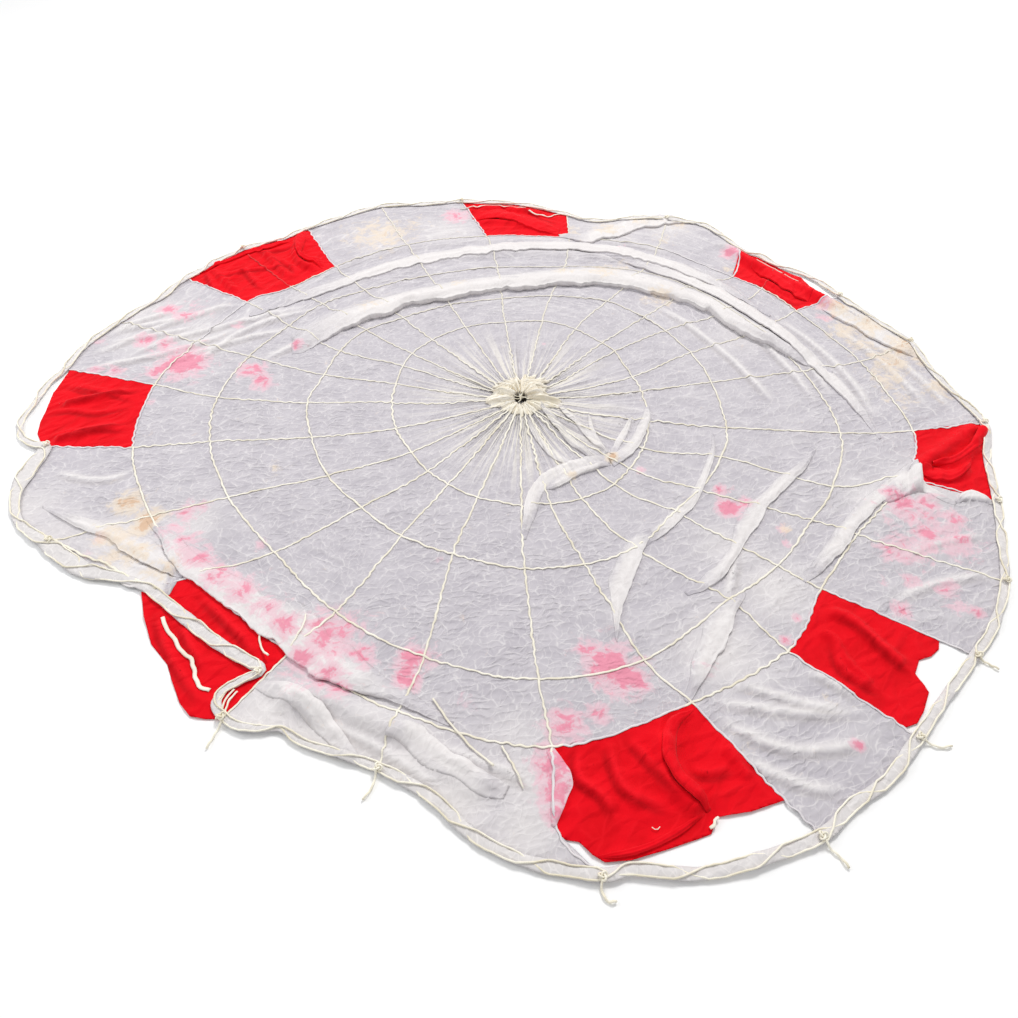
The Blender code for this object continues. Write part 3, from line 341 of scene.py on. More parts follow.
# The same for the long soft creases.
creases = {
    "streakA": (9, 12, 30, ((432, 612), (555, 471), (663, 292), (742, 113), (792, -13))),
    "streakB": (9, 12, 30, ((555, 730), (694, 575), (796, 375), (877, 150), (913, -22))),
    "streakC": (9, 12, 30, ((738, 615), (850, 423), (929, 221), (976, 13))),
    "streakD": (9, 12, 30, ((863, 536), (978, 335), (1049, 114), (1071, -83))),
    "streakE": (9, 12, 30, ((1127, 413), (1210, 284), (1280, 106), (1324, -38))),
    "streakF": (9, 12, 30, ((1044, 487), (1136, 324), (1206, 132), (1255, -44))),
    "panelFanA": (9, 14, 34, ((392, -1030), (471, -1047), (555, -1063), (651, -1068), (774, -1058))),
    "panelFanB": (9, 14, 34, ((394, -1052), (469, -1115), (555, -1153), (661, -1148), (763, -1125))),
    "panelFanC": (9, 14, 34, ((435, -1156), (506, -1205), (581, -1237), (657, -1237))),
    "panelLong": (8, 12, 28, ((455, -986), (514, -1006), (593, -1037), (665, -1052), (717, -1056))),
    "panelLow": (8, 12, 28, ((627, -952), (675, -979), (712, -1010), (736, -1036))),
    "rightPanelA": (7, 12, 26, ((973, -619), (1051, -577), (1139, -549), (1225, -532))),
    "rightPanelB": (7, 12, 26, ((860, -780), (978, -717), (1088, -684), (1195, -668))),
    "leftPanelA": (6, 12, 26, ((-1074, -295), (-1144, -337), (-1227, -337), (-1327, -297))),
    "leftLongA": (11, 14, 36, ((-1344, 193), (-1200, 319), (-1033, 408), (-871, 497), (-691, 577))),
    "leftLongB": (11, 14, 36, ((-1414, 358), (-1297, 413), (-1181, 464), (-990, 548))),
    "leftLongC": (11, 14, 36, ((-1184, 157), (-1054, 268), (-893, 362), (-752, 423))),
    "leftBackA": (10, 14, 34, ((-1099, 439), (-1176, 384), (-1269, 348), (-1394, 329))),
    "frontLeftA": (9, 14, 30, ((-490, -1034), (-415, -1095), (-324, -1141), (-214, -1208), (-109, -1272))),
    "frontLeftB": (9, 14, 30, ((-199, -1125), (-113, -1175), (-29, -1208), (41, -1240))),
    "longLower": (7, 14, 26, ((548, -606), (517, -694), (494, -762))),
    "pleatA02": (11, 11, 24, ((119, -1144), (109, -1187), (116, -1222), (157, -1256), (192, -1329))),
    "pleatB02": (11, 11, 24, ((178, -1139), (183, -1184), (201, -1239), (250, -1266), (295, -1282))),
    "pleatC02": (11, 11, 24, ((220, -1121), (245, -1161), (284, -1212), (326, -1261))),
    "arc02": (9, 10, 22, ((338, -1188), (375, -1206), (431, -1183))),
    "crease08A": (10, 11, 26, ((-1373, -172), (-1266, -127), (-1147, -121))),
    "crease08B": (10, 11, 26, ((-1428, -14), (-1316, 32), (-1240, 73))),
    "crease08C": (10, 11, 26, ((-1417, 97), (-1312, 61), (-1171, 13))),
    "left07": (10, 11, 24, ((-1039, 825), (-988, 746), (-926, 663))),
    "middle07": (11, 11, 24, ((-940, 909), (-891, 857), (-845, 812), (-817, 762))),
    "far07": (9, 11, 24, ((-1163, 795), (-1129, 716), (-1091, 654))),
    "leftBackB": (12, 20, 36, ((-1441, 237), (-1329, 313), (-1205, 430), (-1068, 531), (-965, 566))),
    "leftBackC": (12, 20, 36, ((-1439, 162), (-1309, 203), (-1156, 263), (-1023, 352), (-943, 452))),
    "leftBackD": (12, 20, 36, ((-1397, 359), (-1294, 455), (-1191, 540))),
    "rollStart": (12, 20, 36, ((-853, 206), (-771, 287), (-689, 364), (-602, 445))),
    "leftBackE": (12, 20, 36, ((-1130, 114), (-1031, 246), (-942, 387), (-819, 486), (-682, 547))),
    "far01": (9, 14, 18, ((-801, -727), (-719, -807), (-648, -875), (-593, -940))),
    "near01": (8, 14, 18, ((-761, -718), (-679, -791), (-590, -857), (-552, -897))),
    "outer01": (9, 14, 18, ((-877, -784), (-835, -876), (-768, -969), (-693, -1043))),
    "middle01": (8, 14, 18, ((-809, -823), (-764, -898), (-705, -969))),
    "near07": (9, 12, 22, ((-1163, 718), (-1053, 783), (-923, 823), (-790, 856))),
    "high07": (8, 12, 20, ((-1056, 975), (-968, 943), (-884, 985), (-824, 1054))),
    "low08": (9, 12, 20, ((-1398, -154), (-1320, -134), (-1236, -109), (-1162, -72))),
    "high08": (8, 12, 20, ((-1444, 109), (-1342, 56), (-1244, 56), (-1170, 84))),
    "bend08": (8, 12, 20, ((-1450, -62), (-1373, -36), (-1273, -48), (-1181, 4))),
    "fan05": (8, 12, 18, ((845, 754), (892, 699), (948, 609), (1006, 575))),
    "bend06": (8, 12, 18, ((-55, 1344), (22, 1297), (107, 1213), (170, 1182))),
    "ridge03": (16, 30, 14, ((734, -789), (792, -836), (843, -923), (883, -960))),
    "crease03": (12, 11, 30, ((728, -851), (718, -946), (758, -992), (798, -1012))),
}

cloth = {
    "lie": 0.0009, "cell": 0.0074, "panelCell": 0.0080, "redCell": 0.0064, "thickness": 0.0005,
}
folding = {
    "search": 0.15,  # a line further off than this is left out
    "broadEnd": 0.14, "creaseEnd": 2.6, "turnedEnd": 7,  # how soon a fold falls off towards its ends
    "turnedShare": 0.85, "turnedReach": 1.3, "turnedFoot": 0.004,
}
# where a long crease's painted highlight and the painted shade at its foot lie
creaseTone = {"end": 3.5, "crest": 0.010, "foot": 0.014, "footWidth": 0.012}
vent = {"radius": 0.030, "rise": 0.016, "reach": 0.26, "pleats": 14, "pleat": 0.004}


def besideLine(points, line):
    # for each point its distance to the line, which side it lies on and how far along it is, from 0 to 1
    best = np.full(len(points), 9.0)
    side = np.zeros(len(points))
    along = np.zeros(len(points))
    low, high = line.min(0) - folding["search"], line.max(0) + folding["search"]
    near = np.where(((points > low) & (points < high)).all(1))[0]
    if not len(near):
        return best, side, along
    p = points[near]
    n = len(line) - 1
    nearBest, nearSide, nearAlong = best[near], side[near], along[near]
    for i in range(n):
        a, d = line[i], line[i + 1] - line[i]
        t = np.clip(((p - a) @ d) / (d @ d), 0, 1)
        away = np.hypot(*(p - a - t[:, None] * d).T)
        cross = d[0] * (p[:, 1] - a[1]) - d[1] * (p[:, 0] - a[0])
        closer = away < nearBest
        nearBest = np.where(closer, away, nearBest)
        nearSide = np.where(closer, np.sign(cross), nearSide)
        nearAlong = np.where(closer, (i + t) / n, nearAlong)
    best[near], side[near], along[near] = nearBest, nearSide, nearAlong
    return best, side, along


def smoothStep(t):
    t = np.clip(t, 0, 1)
    return t * t * (3 - 2 * t)


def endFade(along, steep):
    # 1 along a line, and down to 0 at both of its ends
    return smoothStep(np.minimum(along, 1 - along) * steep)


def planLine(table, steps=4):
    return np.array([tuple(p) for p in smoothLine(planPoints(table), steps)])


def crestFold(high, front, back, crest):
    # every crest runs from left to right, so the back lies on its left
    line = planLine(crest if crest[0][0] < crest[-1][0] else crest[::-1])
    return {"high": high / 1000, "front": front / 1000, "back": back / 1000, "line": line}


def turnedFold(high, rows):
    # its edges, its width along them, and the side of the near edge that the far one lies on
    far, near = planLine([row[:2] for row in rows]), planLine([row[2:] for row in rows])
    middle = len(near) // 2
    d, w = near[middle + 1] - near[middle], far[middle] - near[middle]
    return {"high": high / 1000, "far": far, "near": near, "width": np.hypot(*(far - near).T),
            "farSide": 1 if d[0] * w[1] - d[1] * w[0] > 0 else -1}


folds = {name: crestFold(*rest) for name, rest in (*broadFolds.items(), *creases.items())}
foldBands = {name: turnedFold(*rest) for name, rest in foldBands.items()}
redBands = {name: turnedFold(*rest) for name, rest in redBands.items()}


def creaseLight(points):
    # how near each point is to the crest of a long soft crease, which gets a painted highlight, how far it
    # lies in the doubled cloth behind it, and how deep in the hollow in front of it, which gets painted
    # shade
    light = np.zeros(len(points))
    behind = np.zeros(len(points))
    hollowShade = np.zeros(len(points))
    for name in creases:
        away, side, along = besideLine(points, folds[name]["line"])
        end = endFade(along, creaseTone["end"])
        light = np.maximum(light, smoothStep(1 - away / creaseTone["crest"]) * end)
        behind = np.maximum(behind, np.where(side > 0, smoothStep(1 - away / folds[name]["back"]), 0) * end)
        foot = smoothStep(1 - np.abs(away - creaseTone["foot"]) / creaseTone["footWidth"])
        hollowShade = np.maximum(hollowShade, np.where(side < 0, foot, 0) * end)
    return light, behind, hollowShade


def widthAlong(fold, along):
    return np.interp(along, np.linspace(0, 1, len(fold["width"])), fold["width"])


def foldHeight(points):
    height = np.zeros(len(points))
    for name, fold in folds.items():
        away, side, along = besideLine(points, fold["line"])
        half = np.where(side > 0, fold["back"], fold["front"])
        if name in creases:
            end = endFade(along, folding["creaseEnd"])
            bump = fold["high"] * end * np.clip(1 - away / half, 0, 1) ** 1.5
        else:
            end = smoothStep(np.minimum(along, 1 - along) / folding["broadEnd"])
            bump = fold["high"] * end * 0.5 * (1 + np.cos(math.pi * np.clip(away / half, 0, 1)))
        height = np.maximum(height, bump)
    for fold in (*foldBands.values(), *redBands.values()):
        away, side, along = besideLine(points, fold["near"])
        width = widthAlong(fold, along) + folding["turnedFoot"]
        share = np.clip(away / (width * folding["turnedReach"]), 0, 1)
        swell = np.where(side == fold["farSide"], np.sin(math.pi * share ** 0.75) ** 1.5, 0)
        end = endFade(along, folding["turnedEnd"])
        height = np.maximum(height, fold["high"] * folding["turnedShare"] * end * swell)
    return height


def apexHeight(points):
    radius = radiusOf(points)
    near = smoothStep((vent["reach"] - radius) / (vent["reach"] - vent["radius"]))
    wave = 0.5 + 0.5 * np.cos(vent["pleats"] * np.arctan2(points[:, 1], points[:, 0]))
    return near * (vent["rise"] - vent["pleat"] + vent["pleat"] * wave)


def goreTable():
    # angle of each seam at even radii, so that a plan point can be given a gore and a share across it
    radii = np.linspace(0.0, 1.56, 157)  # 10 mm apart
    rows = []
    for corners in seams.values():
        angles = [a for a, _ in corners]
        reach = [r for _, r in corners]
        rows.append(np.interp(radii, [0.0, *reach, 1.60], [angles[0], *angles, angles[-1]]))
    return radii, np.array(rows)


goreRadii, goreAngles = goreTable()


def goreCoordinates(points):
    # gore number and share across it, ring number and share outwards, and the distance to the nearest seam
    radius = radiusOf(points)
    angle = np.degrees(np.arctan2(points[:, 1], points[:, 0])) % 360
    spot = np.clip(radius / (goreRadii[1] - goreRadii[0]), 0, len(goreRadii) - 1.001)
    low = spot.astype(int)
    share = spot - low
    table = goreAngles[:, low] * (1 - share) + goreAngles[:, low + 1] * share
    first = table[0]
    angle = np.where(angle < first, angle + 360, angle)
    gore = np.zeros(len(points))
    across = np.zeros(len(points))
    seamAway = np.zeros(len(points))
    n = len(table)
    for i in range(n):
        a = table[i]
        b = table[i + 1] if i + 1 < n else table[0] + 360
        here = (angle >= a) & (angle < b)
        t = (angle - a) / np.maximum(1e-6, b - a)
        gore = np.where(here, i, gore)
        across = np.where(here, t, across)
        away = np.minimum(angle - a, b - angle) * math.pi / 180 * radius
        seamAway = np.where(here, away, seamAway)
    ringRadii = []
    for ring in range(5):
        known = sorted((corners[ring][0] % 360, corners[ring][1]) for corners in seams.values())
        angles = [known[-1][0] - 360] + [a for a, _ in known] + [known[0][0] + 360]
        reach = [known[-1][1]] + [r for _, r in known] + [known[0][1]]
        ringRadii.append(np.interp(angle % 360, angles, reach))
    outward = np.zeros(len(points))
    ringAway = np.full(len(points), 9.0)
    inner = np.zeros(len(points))
    for ring, reach in enumerate(ringRadii):
        t = (radius - inner) / np.maximum(1e-6, reach - inner)
        outward = np.where((radius >= inner) & (radius < reach), ring + t, outward)
        if ring < 4:
            ringAway = np.minimum(ringAway, np.abs(radius - reach))
        inner = reach
    outward = np.where(radius >= inner, 5 + (radius - inner), outward)
    return gore + across, outward, np.minimum(seamAway, 0.5), ringAway


noiseTurns = np.random.default_rng(7).random(4096) * 2 * math.pi


def noiseAt(points, scale, shift):
    # smooth noise from -1 to 1: a slope at every corner of a square grid, blended between corners
    x = points[:, 0] * scale[0] + shift * 13.7
    y = points[:, 1] * scale[1] - shift * 7.3
    left, low = np.floor(x), np.floor(y)
    total = np.zeros(len(points))
    for dx in (0, 1):
        for dy in (0, 1):
            cornerX, cornerY = left + dx, low + dy
            pick = cornerX * 73856093 + cornerY * 19349663 + np.floor(shift * 101) * 83492791
            pick = pick.astype(np.int64) % len(noiseTurns)
            awayX, awayY = x - cornerX, y - cornerY
            slope = np.cos(noiseTurns[pick]) * awayX + np.sin(noiseTurns[pick]) * awayY
            total += slope * smoothFade(1 - np.abs(awayX)) * smoothFade(1 - np.abs(awayY))
    return total * 1.5


def radiusOf(points):
    return np.hypot(points[:, 0], points[:, 1])


def smoothFade(t):
    return t * t * t * (t * (t * 6 - 15) + 10)


def turned(points, angle):
    a = math.radians(angle)
    return np.stack([points[:, 0] * math.cos(a) + points[:, 1] * math.sin(a),
                     points[:, 1] * math.cos(a) - points[:, 0] * math.sin(a)], 1)


def ridges(points, length, width, shift):
    # broken ridges that run along x, with a sharp top and a wide foot, from 0 to 1
    push = 0.35 * width * noiseAt(points, (0.6 / width, 0.6 / width), shift + 2.3)
    moved = np.stack([points[:, 0], points[:, 1] + push], 1)
    first = noiseAt(moved, (1 / length, 1 / width), shift)
    gate = smoothStep(0.5 + 0.9 * noiseAt(points, (1.3 / length, 0.7 / width), shift + 5.1))
    return np.clip(1 - np.abs(first) * 2.4, 0, 1) ** 1.5 * gate


crumple = {
    "rays": {"high": 0.0060, "length": 0.30, "width": 0.026, "shift": 9.2},
    "fineRays": {"high": 0.0022, "length": 0.16, "width": 0.013, "shift": 4.7},
    "around": {"high": 0.0044, "length": 0.46, "width": 0.050, "shifts": (6, 13)},
    "slanted": {"high": 0.0036, "length": 0.30, "width": 0.046, "angle": 30, "shifts": (7, 14)},
    "frontLeft": {"high": 0.0036, "length": 0.28, "width": 0.048, "angle": -34, "shifts": (9, 16)},
    "level": {"high": 0.0022, "length": 0.22, "width": 0.050, "angle": 8, "shifts": (8, 16)},
    "short": {"high": 0.0012, "length": 0.080, "width": 0.040, "angle": 75, "shifts": (8, 16)},
    "broad": 0.0050, "pucker": 0.0018, "puckerReach": 0.014, "sharp": 0.005,
}


def layWeights(points):
    # how much the creases run out from the vent, round the canopy, slant on the right, or follow the
    # front left rim
    radius = radiusOf(points)
    level = np.clip(points[:, 0] / np.maximum(radius, 0.01), 0, 1) ** 3
    rays = np.clip(1.40 - radius / (0.40 + 0.28 * level), 0, 1)
    around = smoothStep((points[:, 1] - 0.22) / 0.30) * (1 - rays)
    slanted = smoothStep((points[:, 0] - 0.10) / 0.35) * (1 - smoothStep((points[:, 1] - 0.05) / 0.30))
    slanted = slanted * (1 - rays)
    front = smoothStep((-0.30 - points[:, 0]) / 0.20) * smoothStep((-0.45 - points[:, 1]) / 0.20)
    return rays, around, slanted, front


def crestAmount(points):
    # the height of the creases, and how near each point is to the top of one
    rays, around, slanted, front = layWeights(points)
    radius = radiusOf(points)
    angle = np.arctan2(points[:, 1], points[:, 0])
    folded = np.stack([radius, np.abs(angle) * 0.26], 1)
    parts = []
    for part in (crumple["rays"], crumple["fineRays"]):
        parts.append((rays, part["high"], ridges(folded, part["length"], part["width"], part["shift"])))
    ringed = np.stack([angle * 0.75, radius + 0.10 * np.cos(angle * 2)], 1)
    rest = np.clip(1 - rays - around - slanted - front, 0, 1)
    short = 1 - 0.6 * rays
    weights = {"around": around, "slanted": slanted, "frontLeft": front, "level": rest, "short": short}
    for key, weight in weights.items():
        part = crumple[key]
        where = ringed if key == "around" else turned(points, part["angle"])
        for scale, shift in zip((1.0, 0.5), part["shifts"]):  # coarse creases, and the same at half the size
            ridge = ridges(where, part["length"] * scale, part["width"] * scale, shift)
            parts.append((weight, part["high"] * scale, ridge))
    height = np.zeros(len(points))
    crest = np.zeros(len(points))
    for weight, high, ridge in parts:
        height += weight * high * ridge
        crest = np.maximum(crest, weight * ridge * min(1.0, high / crumple["sharp"]))
    return height, crest


def crumpleHeight(points):
    _, _, seamAway, ringAway = goreCoordinates(points)
    broad = np.clip(noiseAt(points, (5.0, 5.0), 3.1) * 0.6 + 0.4, 0, 1)
    seam = np.exp(-(np.minimum(seamAway, ringAway) / crumple["puckerReach"]) ** 2)
    wave = np.sin(points[:, 0] * 190 + points[:, 1] * 170 + 5 * noiseAt(points, (9.0, 9.0), 1.7))
    pucker = seam * (0.5 + 0.5 * wave)
    return crumple["broad"] * broad + crestAmount(points)[0] + crumple["pucker"] * pucker


def clothHeight(places):
    # height of the cloth's middle over the ground at places in the model's own plan
    points = np.array(places, float) - np.array(apex)
    height = np.maximum(foldHeight(points), apexHeight(points)) + crumpleHeight(points)
    return cloth["lie"] + height


# ---- cloth sheets ----


def faceUp(bm):
    bmesh.ops.recalc_face_normals(bm, faces=bm.faces)
    if sum(f.normal.z * f.calc_area() for f in bm.faces) < 0:
        bmesh.ops.reverse_faces(bm, faces=bm.faces)


def thicken(obj, thickness, offset=1):
    thick = obj.modifiers.new("thickness", "SOLIDIFY")
    thick.thickness = thickness
    thick.offset = offset


def addThin(name, bm, thickness, material):
    # a thin piece: the mesh is its lower face
    faceUp(bm)
    obj = addMesh(name, bm, material)
    thicken(obj, thickness)
    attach(obj, "root")
    return obj


def flatCopy(piece):
    # the piece's upper faces, merged and pressed flat
    bm = bmesh.new()
    bm.from_mesh(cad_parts[piece].data)
    bmesh.ops.remove_doubles(bm, verts=bm.verts, dist=1e-5)
    bmesh.ops.delete(bm, geom=[f for f in bm.faces if f.normal.z < 0.15], context="FACES")
    for v in bm.verts:
        v.co.z = 0.0
    return bm


def cutBetween(bm, faces, axis, low, high, cell):
    # cuts the faces along a grid line halfway, and then each half
    if high - low < 2 or not faces:
        return
    middle = (low + high) // 2
    side = Vector((1, 0, 0)) if axis == 0 else Vector((0, 1, 0))
    around = {v for f in faces for v in f.verts} | {e for f in faces for e in f.edges} | set(faces)
    spot = side * middle * cell
    cut = bmesh.ops.bisect_plane(bm, geom=list(around), dist=2e-5, plane_co=spot, plane_no=side)
    parts = [g for g in cut["geom"] if isinstance(g, bmesh.types.BMFace)]
    near = [f for f in parts if f.calc_center_median()[axis] < middle * cell]
    far = [f for f in parts if f.calc_center_median()[axis] >= middle * cell]
    cutBetween(bm, near, axis, low, middle, cell)
    cutBetween(bm, far, axis, middle, high, cell)


def cutInGrid(bm, cell):
    for axis in (0, 1):
        low = math.floor(min(v.co[axis] for v in bm.verts) / cell)
        high = math.ceil(max(v.co[axis] for v in bm.verts) / cell)
        cutBetween(bm, bm.faces[:], axis, low, high, cell)
    coarse = [e for e in bm.edges if offGrid(e, cell)]
    bmesh.ops.dissolve_limit(bm, angle_limit=0.01, verts=[], edges=coarse)


def offGrid(edge, cell):
    # an edge of the first coarse mesh that crosses a grid cell
    if edge.is_boundary:
        return False
    a, b = edge.verts
    for axis in (0, 1):
        if abs(a.co[axis] - b.co[axis]) < 1e-6 and abs(a.co[axis] / cell - round(a.co[axis] / cell)) < 1e-3:
            return False
    return True


def giveGoreMap(bm, points):
    # the cloth's own map: across a gore in u, and from the vent outwards in v
    gore, outward, _, _ = goreCoordinates(points)
    layer = bm.loops.layers.uv.new("goreMap")
    count = len(seams)
    for face in bm.faces:
        across = [gore[v.index] for v in face.verts]
        wraps = max(across) - min(across) > count / 2
        for loop in face.loops:
            u = gore[loop.vert.index]
            loop[layer].uv = (u + count if wraps and u < count / 2 else u, outward[loop.vert.index])


def makeCloth(piece, material, cell, single=False):
    # a sheet with its solid's outline, cut in small cells and raised to the folds and creases
    bm = flatCopy(piece)
    area = sum(f.calc_area() for f in bm.faces)
    cutInGrid(bm, cell)
    bm.verts.index_update()
    places = np.array([v.co.xy for v in bm.verts])
    heights = clothHeight(places)
    giveGoreMap(bm, places - np.array(apex))
    colourCloth(bm, places - np.array(apex))
    for v, z in zip(bm.verts, heights):
        v.co.z = z
    for f in bm.faces:
        f.smooth = True
    obj = addMesh(piece + "_cloth", bm, material)
    if not single:  # the crown's edges are under tape and collar
        thicken(obj, cloth["thickness"], 0)
    low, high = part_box(piece)
    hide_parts(piece)
    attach(obj, "root")


# ---- materials ----


def paint(red, green, blue):
    # a colour from its screen values
    parts = [c / 255 / 12.92 if c < 10 else ((c / 255 + 0.055) / 1.055) ** 2.4 for c in (red, green, blue)]
    return (*parts, 1.0)


def newMaterial(name, roughness, sheen=0.0):
    material = bpy.data.materials.new(name)
    material.use_nodes = True
    tree = material.node_tree
    shader = tree.nodes["Principled BSDF"]
    shader.inputs["Roughness"].default_value = roughness
    shader.inputs["Sheen Weight"].default_value = sheen
    shader.inputs["Specular IOR Level"].default_value = 0.25
    return material, tree, shader


def node(tree, kind, inputs, **settings):
    made = tree.nodes.new("ShaderNode" + kind)
    for key, value in settings.items():
        setattr(made, key, value)
    for key, value in inputs.items():
        if isinstance(value, bpy.types.NodeSocket):
            tree.links.new(value, made.inputs[key])
        else:
            made.inputs[key].default_value = value
    return made


def layerParts(tree, name):
    # the four parts of a layer that colourCloth gives
    layer = node(tree, "Attribute", {}, attribute_name=name)
    parts = node(tree, "SeparateColor", {"Color": layer.outputs["Color"]}).outputs
    return parts[0], parts[1], parts[2], layer.outputs["Alpha"]


def times(tree, a, b):
    return node(tree, "Math", {0: a, 1: b}, operation="MULTIPLY").outputs[0]


def plus(tree, a, b, clamp=False):
    return node(tree, "Math", {0: a, 1: b}, operation="ADD", use_clamp=clamp).outputs[0]


def minus(tree, a, b, clamp=False):
    return node(tree, "Math", {0: a, 1: b}, operation="SUBTRACT", use_clamp=clamp).outputs[0]


def mixed(tree, share, first, second):
    return node(tree, "Mix", {0: share, 6: first, 7: second}, data_type="RGBA").outputs[2]


def between(tree, value, low, high, start=0.0, end=1.0):
    # value from low to high becomes start to end, and no further
    ranged = {"Value": value, "From Min": low, "From Max": high, "To Min": start, "To Max": end}
    return node(tree, "MapRange", ranged, interpolation_type="SMOOTHSTEP").outputs["Result"]


def noiseField(tree, coords, scale, detail=2.0, rough=0.5):
    made = node(tree, "TexNoise", {"Vector": coords, "Scale": scale, "Detail": detail, "Roughness": rough})
    return made.outputs["Fac"]


def waved(tree, coords, scale, amount):
    # the same coordinates pushed about a little, so that lines drawn with them wander
    push = node(tree, "TexNoise", {"Vector": coords, "Scale": scale, "Detail": 2.0}).outputs["Color"]
    push = node(tree, "VectorMath", {0: push, 1: (0.5, 0.5, 0.5)}, operation="SUBTRACT").outputs[0]
    push = node(tree, "VectorMath", {0: push, "Scale": amount}, operation="SCALE").outputs[0]
    return node(tree, "VectorMath", {0: coords, 1: push}, operation="ADD").outputs[0]


def stretched(tree, coords, angle, length, width):
    turn = (0.0, 0.0, math.radians(angle))
    sizes = {"Vector": coords, "Rotation": turn, "Scale": (length, width, 1.0)}
    return node(tree, "Mapping", sizes, vector_type="TEXTURE").outputs[0]


def crushed(tree, coords, width=0.09):
    # flat facets with sharp edges, as in thin cloth that was crushed; gives the edge lines and the height
    cells = {"Vector": coords, "Scale": 1.0, "Randomness": 1.0}
    edge = node(tree, "TexVoronoi", cells, feature="DISTANCE_TO_EDGE", voronoi_dimensions="2D")
    edge = edge.outputs["Distance"]
    gate = noiseField(tree, coords, 1.1, 3.0)
    lines = times(tree, between(tree, edge, 0.0, width, 1.0, 0.0), between(tree, gate, 0.37, 0.60))
    return lines, between(tree, edge, 0.0, 0.45, 1.0, 0.0)


def bumped(tree, shader, parts):
    # parts: height socket, depth in metres
    normal = None
    for height, depth in parts:
        inputs = {"Height": height, "Distance": depth, "Strength": 1.0}
        if normal is not None:
            inputs["Normal"] = normal
        normal = node(tree, "Bump", inputs).outputs[0]
    tree.links.new(normal, shader.inputs["Normal"])


waveRepeat = 0.314


def weaveHeight(tree, coords, size):
    # waves across and down whose product is a weave; a wave texture repeats every 0.314 / scale metres
    waves = {"Vector": coords, "Scale": waveRepeat / size}
    return times(tree, *[node(tree, "TexWave", waves, bands_direction=way).outputs["Fac"] for way in "XY"])


# below, the darkest grey is a painted shade colour for hollows, and creased also gives the crests a painted
# highlight
sheer = {
    "plain": paint(193, 188, 194), "deep": paint(182, 177, 184), "creased": paint(236, 232, 231),
    "doubled": paint(228, 223, 221), "gathered": paint(242, 236, 222), "hollowShade": paint(166, 159, 155),
    "cream": paint(228, 212, 192), "pink": paint(228, 128, 154), "palePink": paint(228, 188, 199),
    "rust": paint(208, 166, 128), "weave": 0.0016,
    "shares": {"lines": 0.48, "crest": 0.62, "gathered": 0.85, "hollowShade": 0.60, "shade": 0.34, "small": 0.62},
    "depths": {"facets": 0.0021, "small": 0.0007, "cloud": 0.0010, "pleats": 0.0100, "weave": 0.0002},
    "creases": {  # on the gore map or in metres, angle, length and width of a facet
        "rays": (True, 0, 0.20, 0.55), "around": (True, 0, 0.55, 0.085),
        "slanted": (False, 22, 0.066, 0.020), "front": (False, -34, 0.058, 0.021),
        "level": (False, 6, 0.046, 0.017),
    },
}


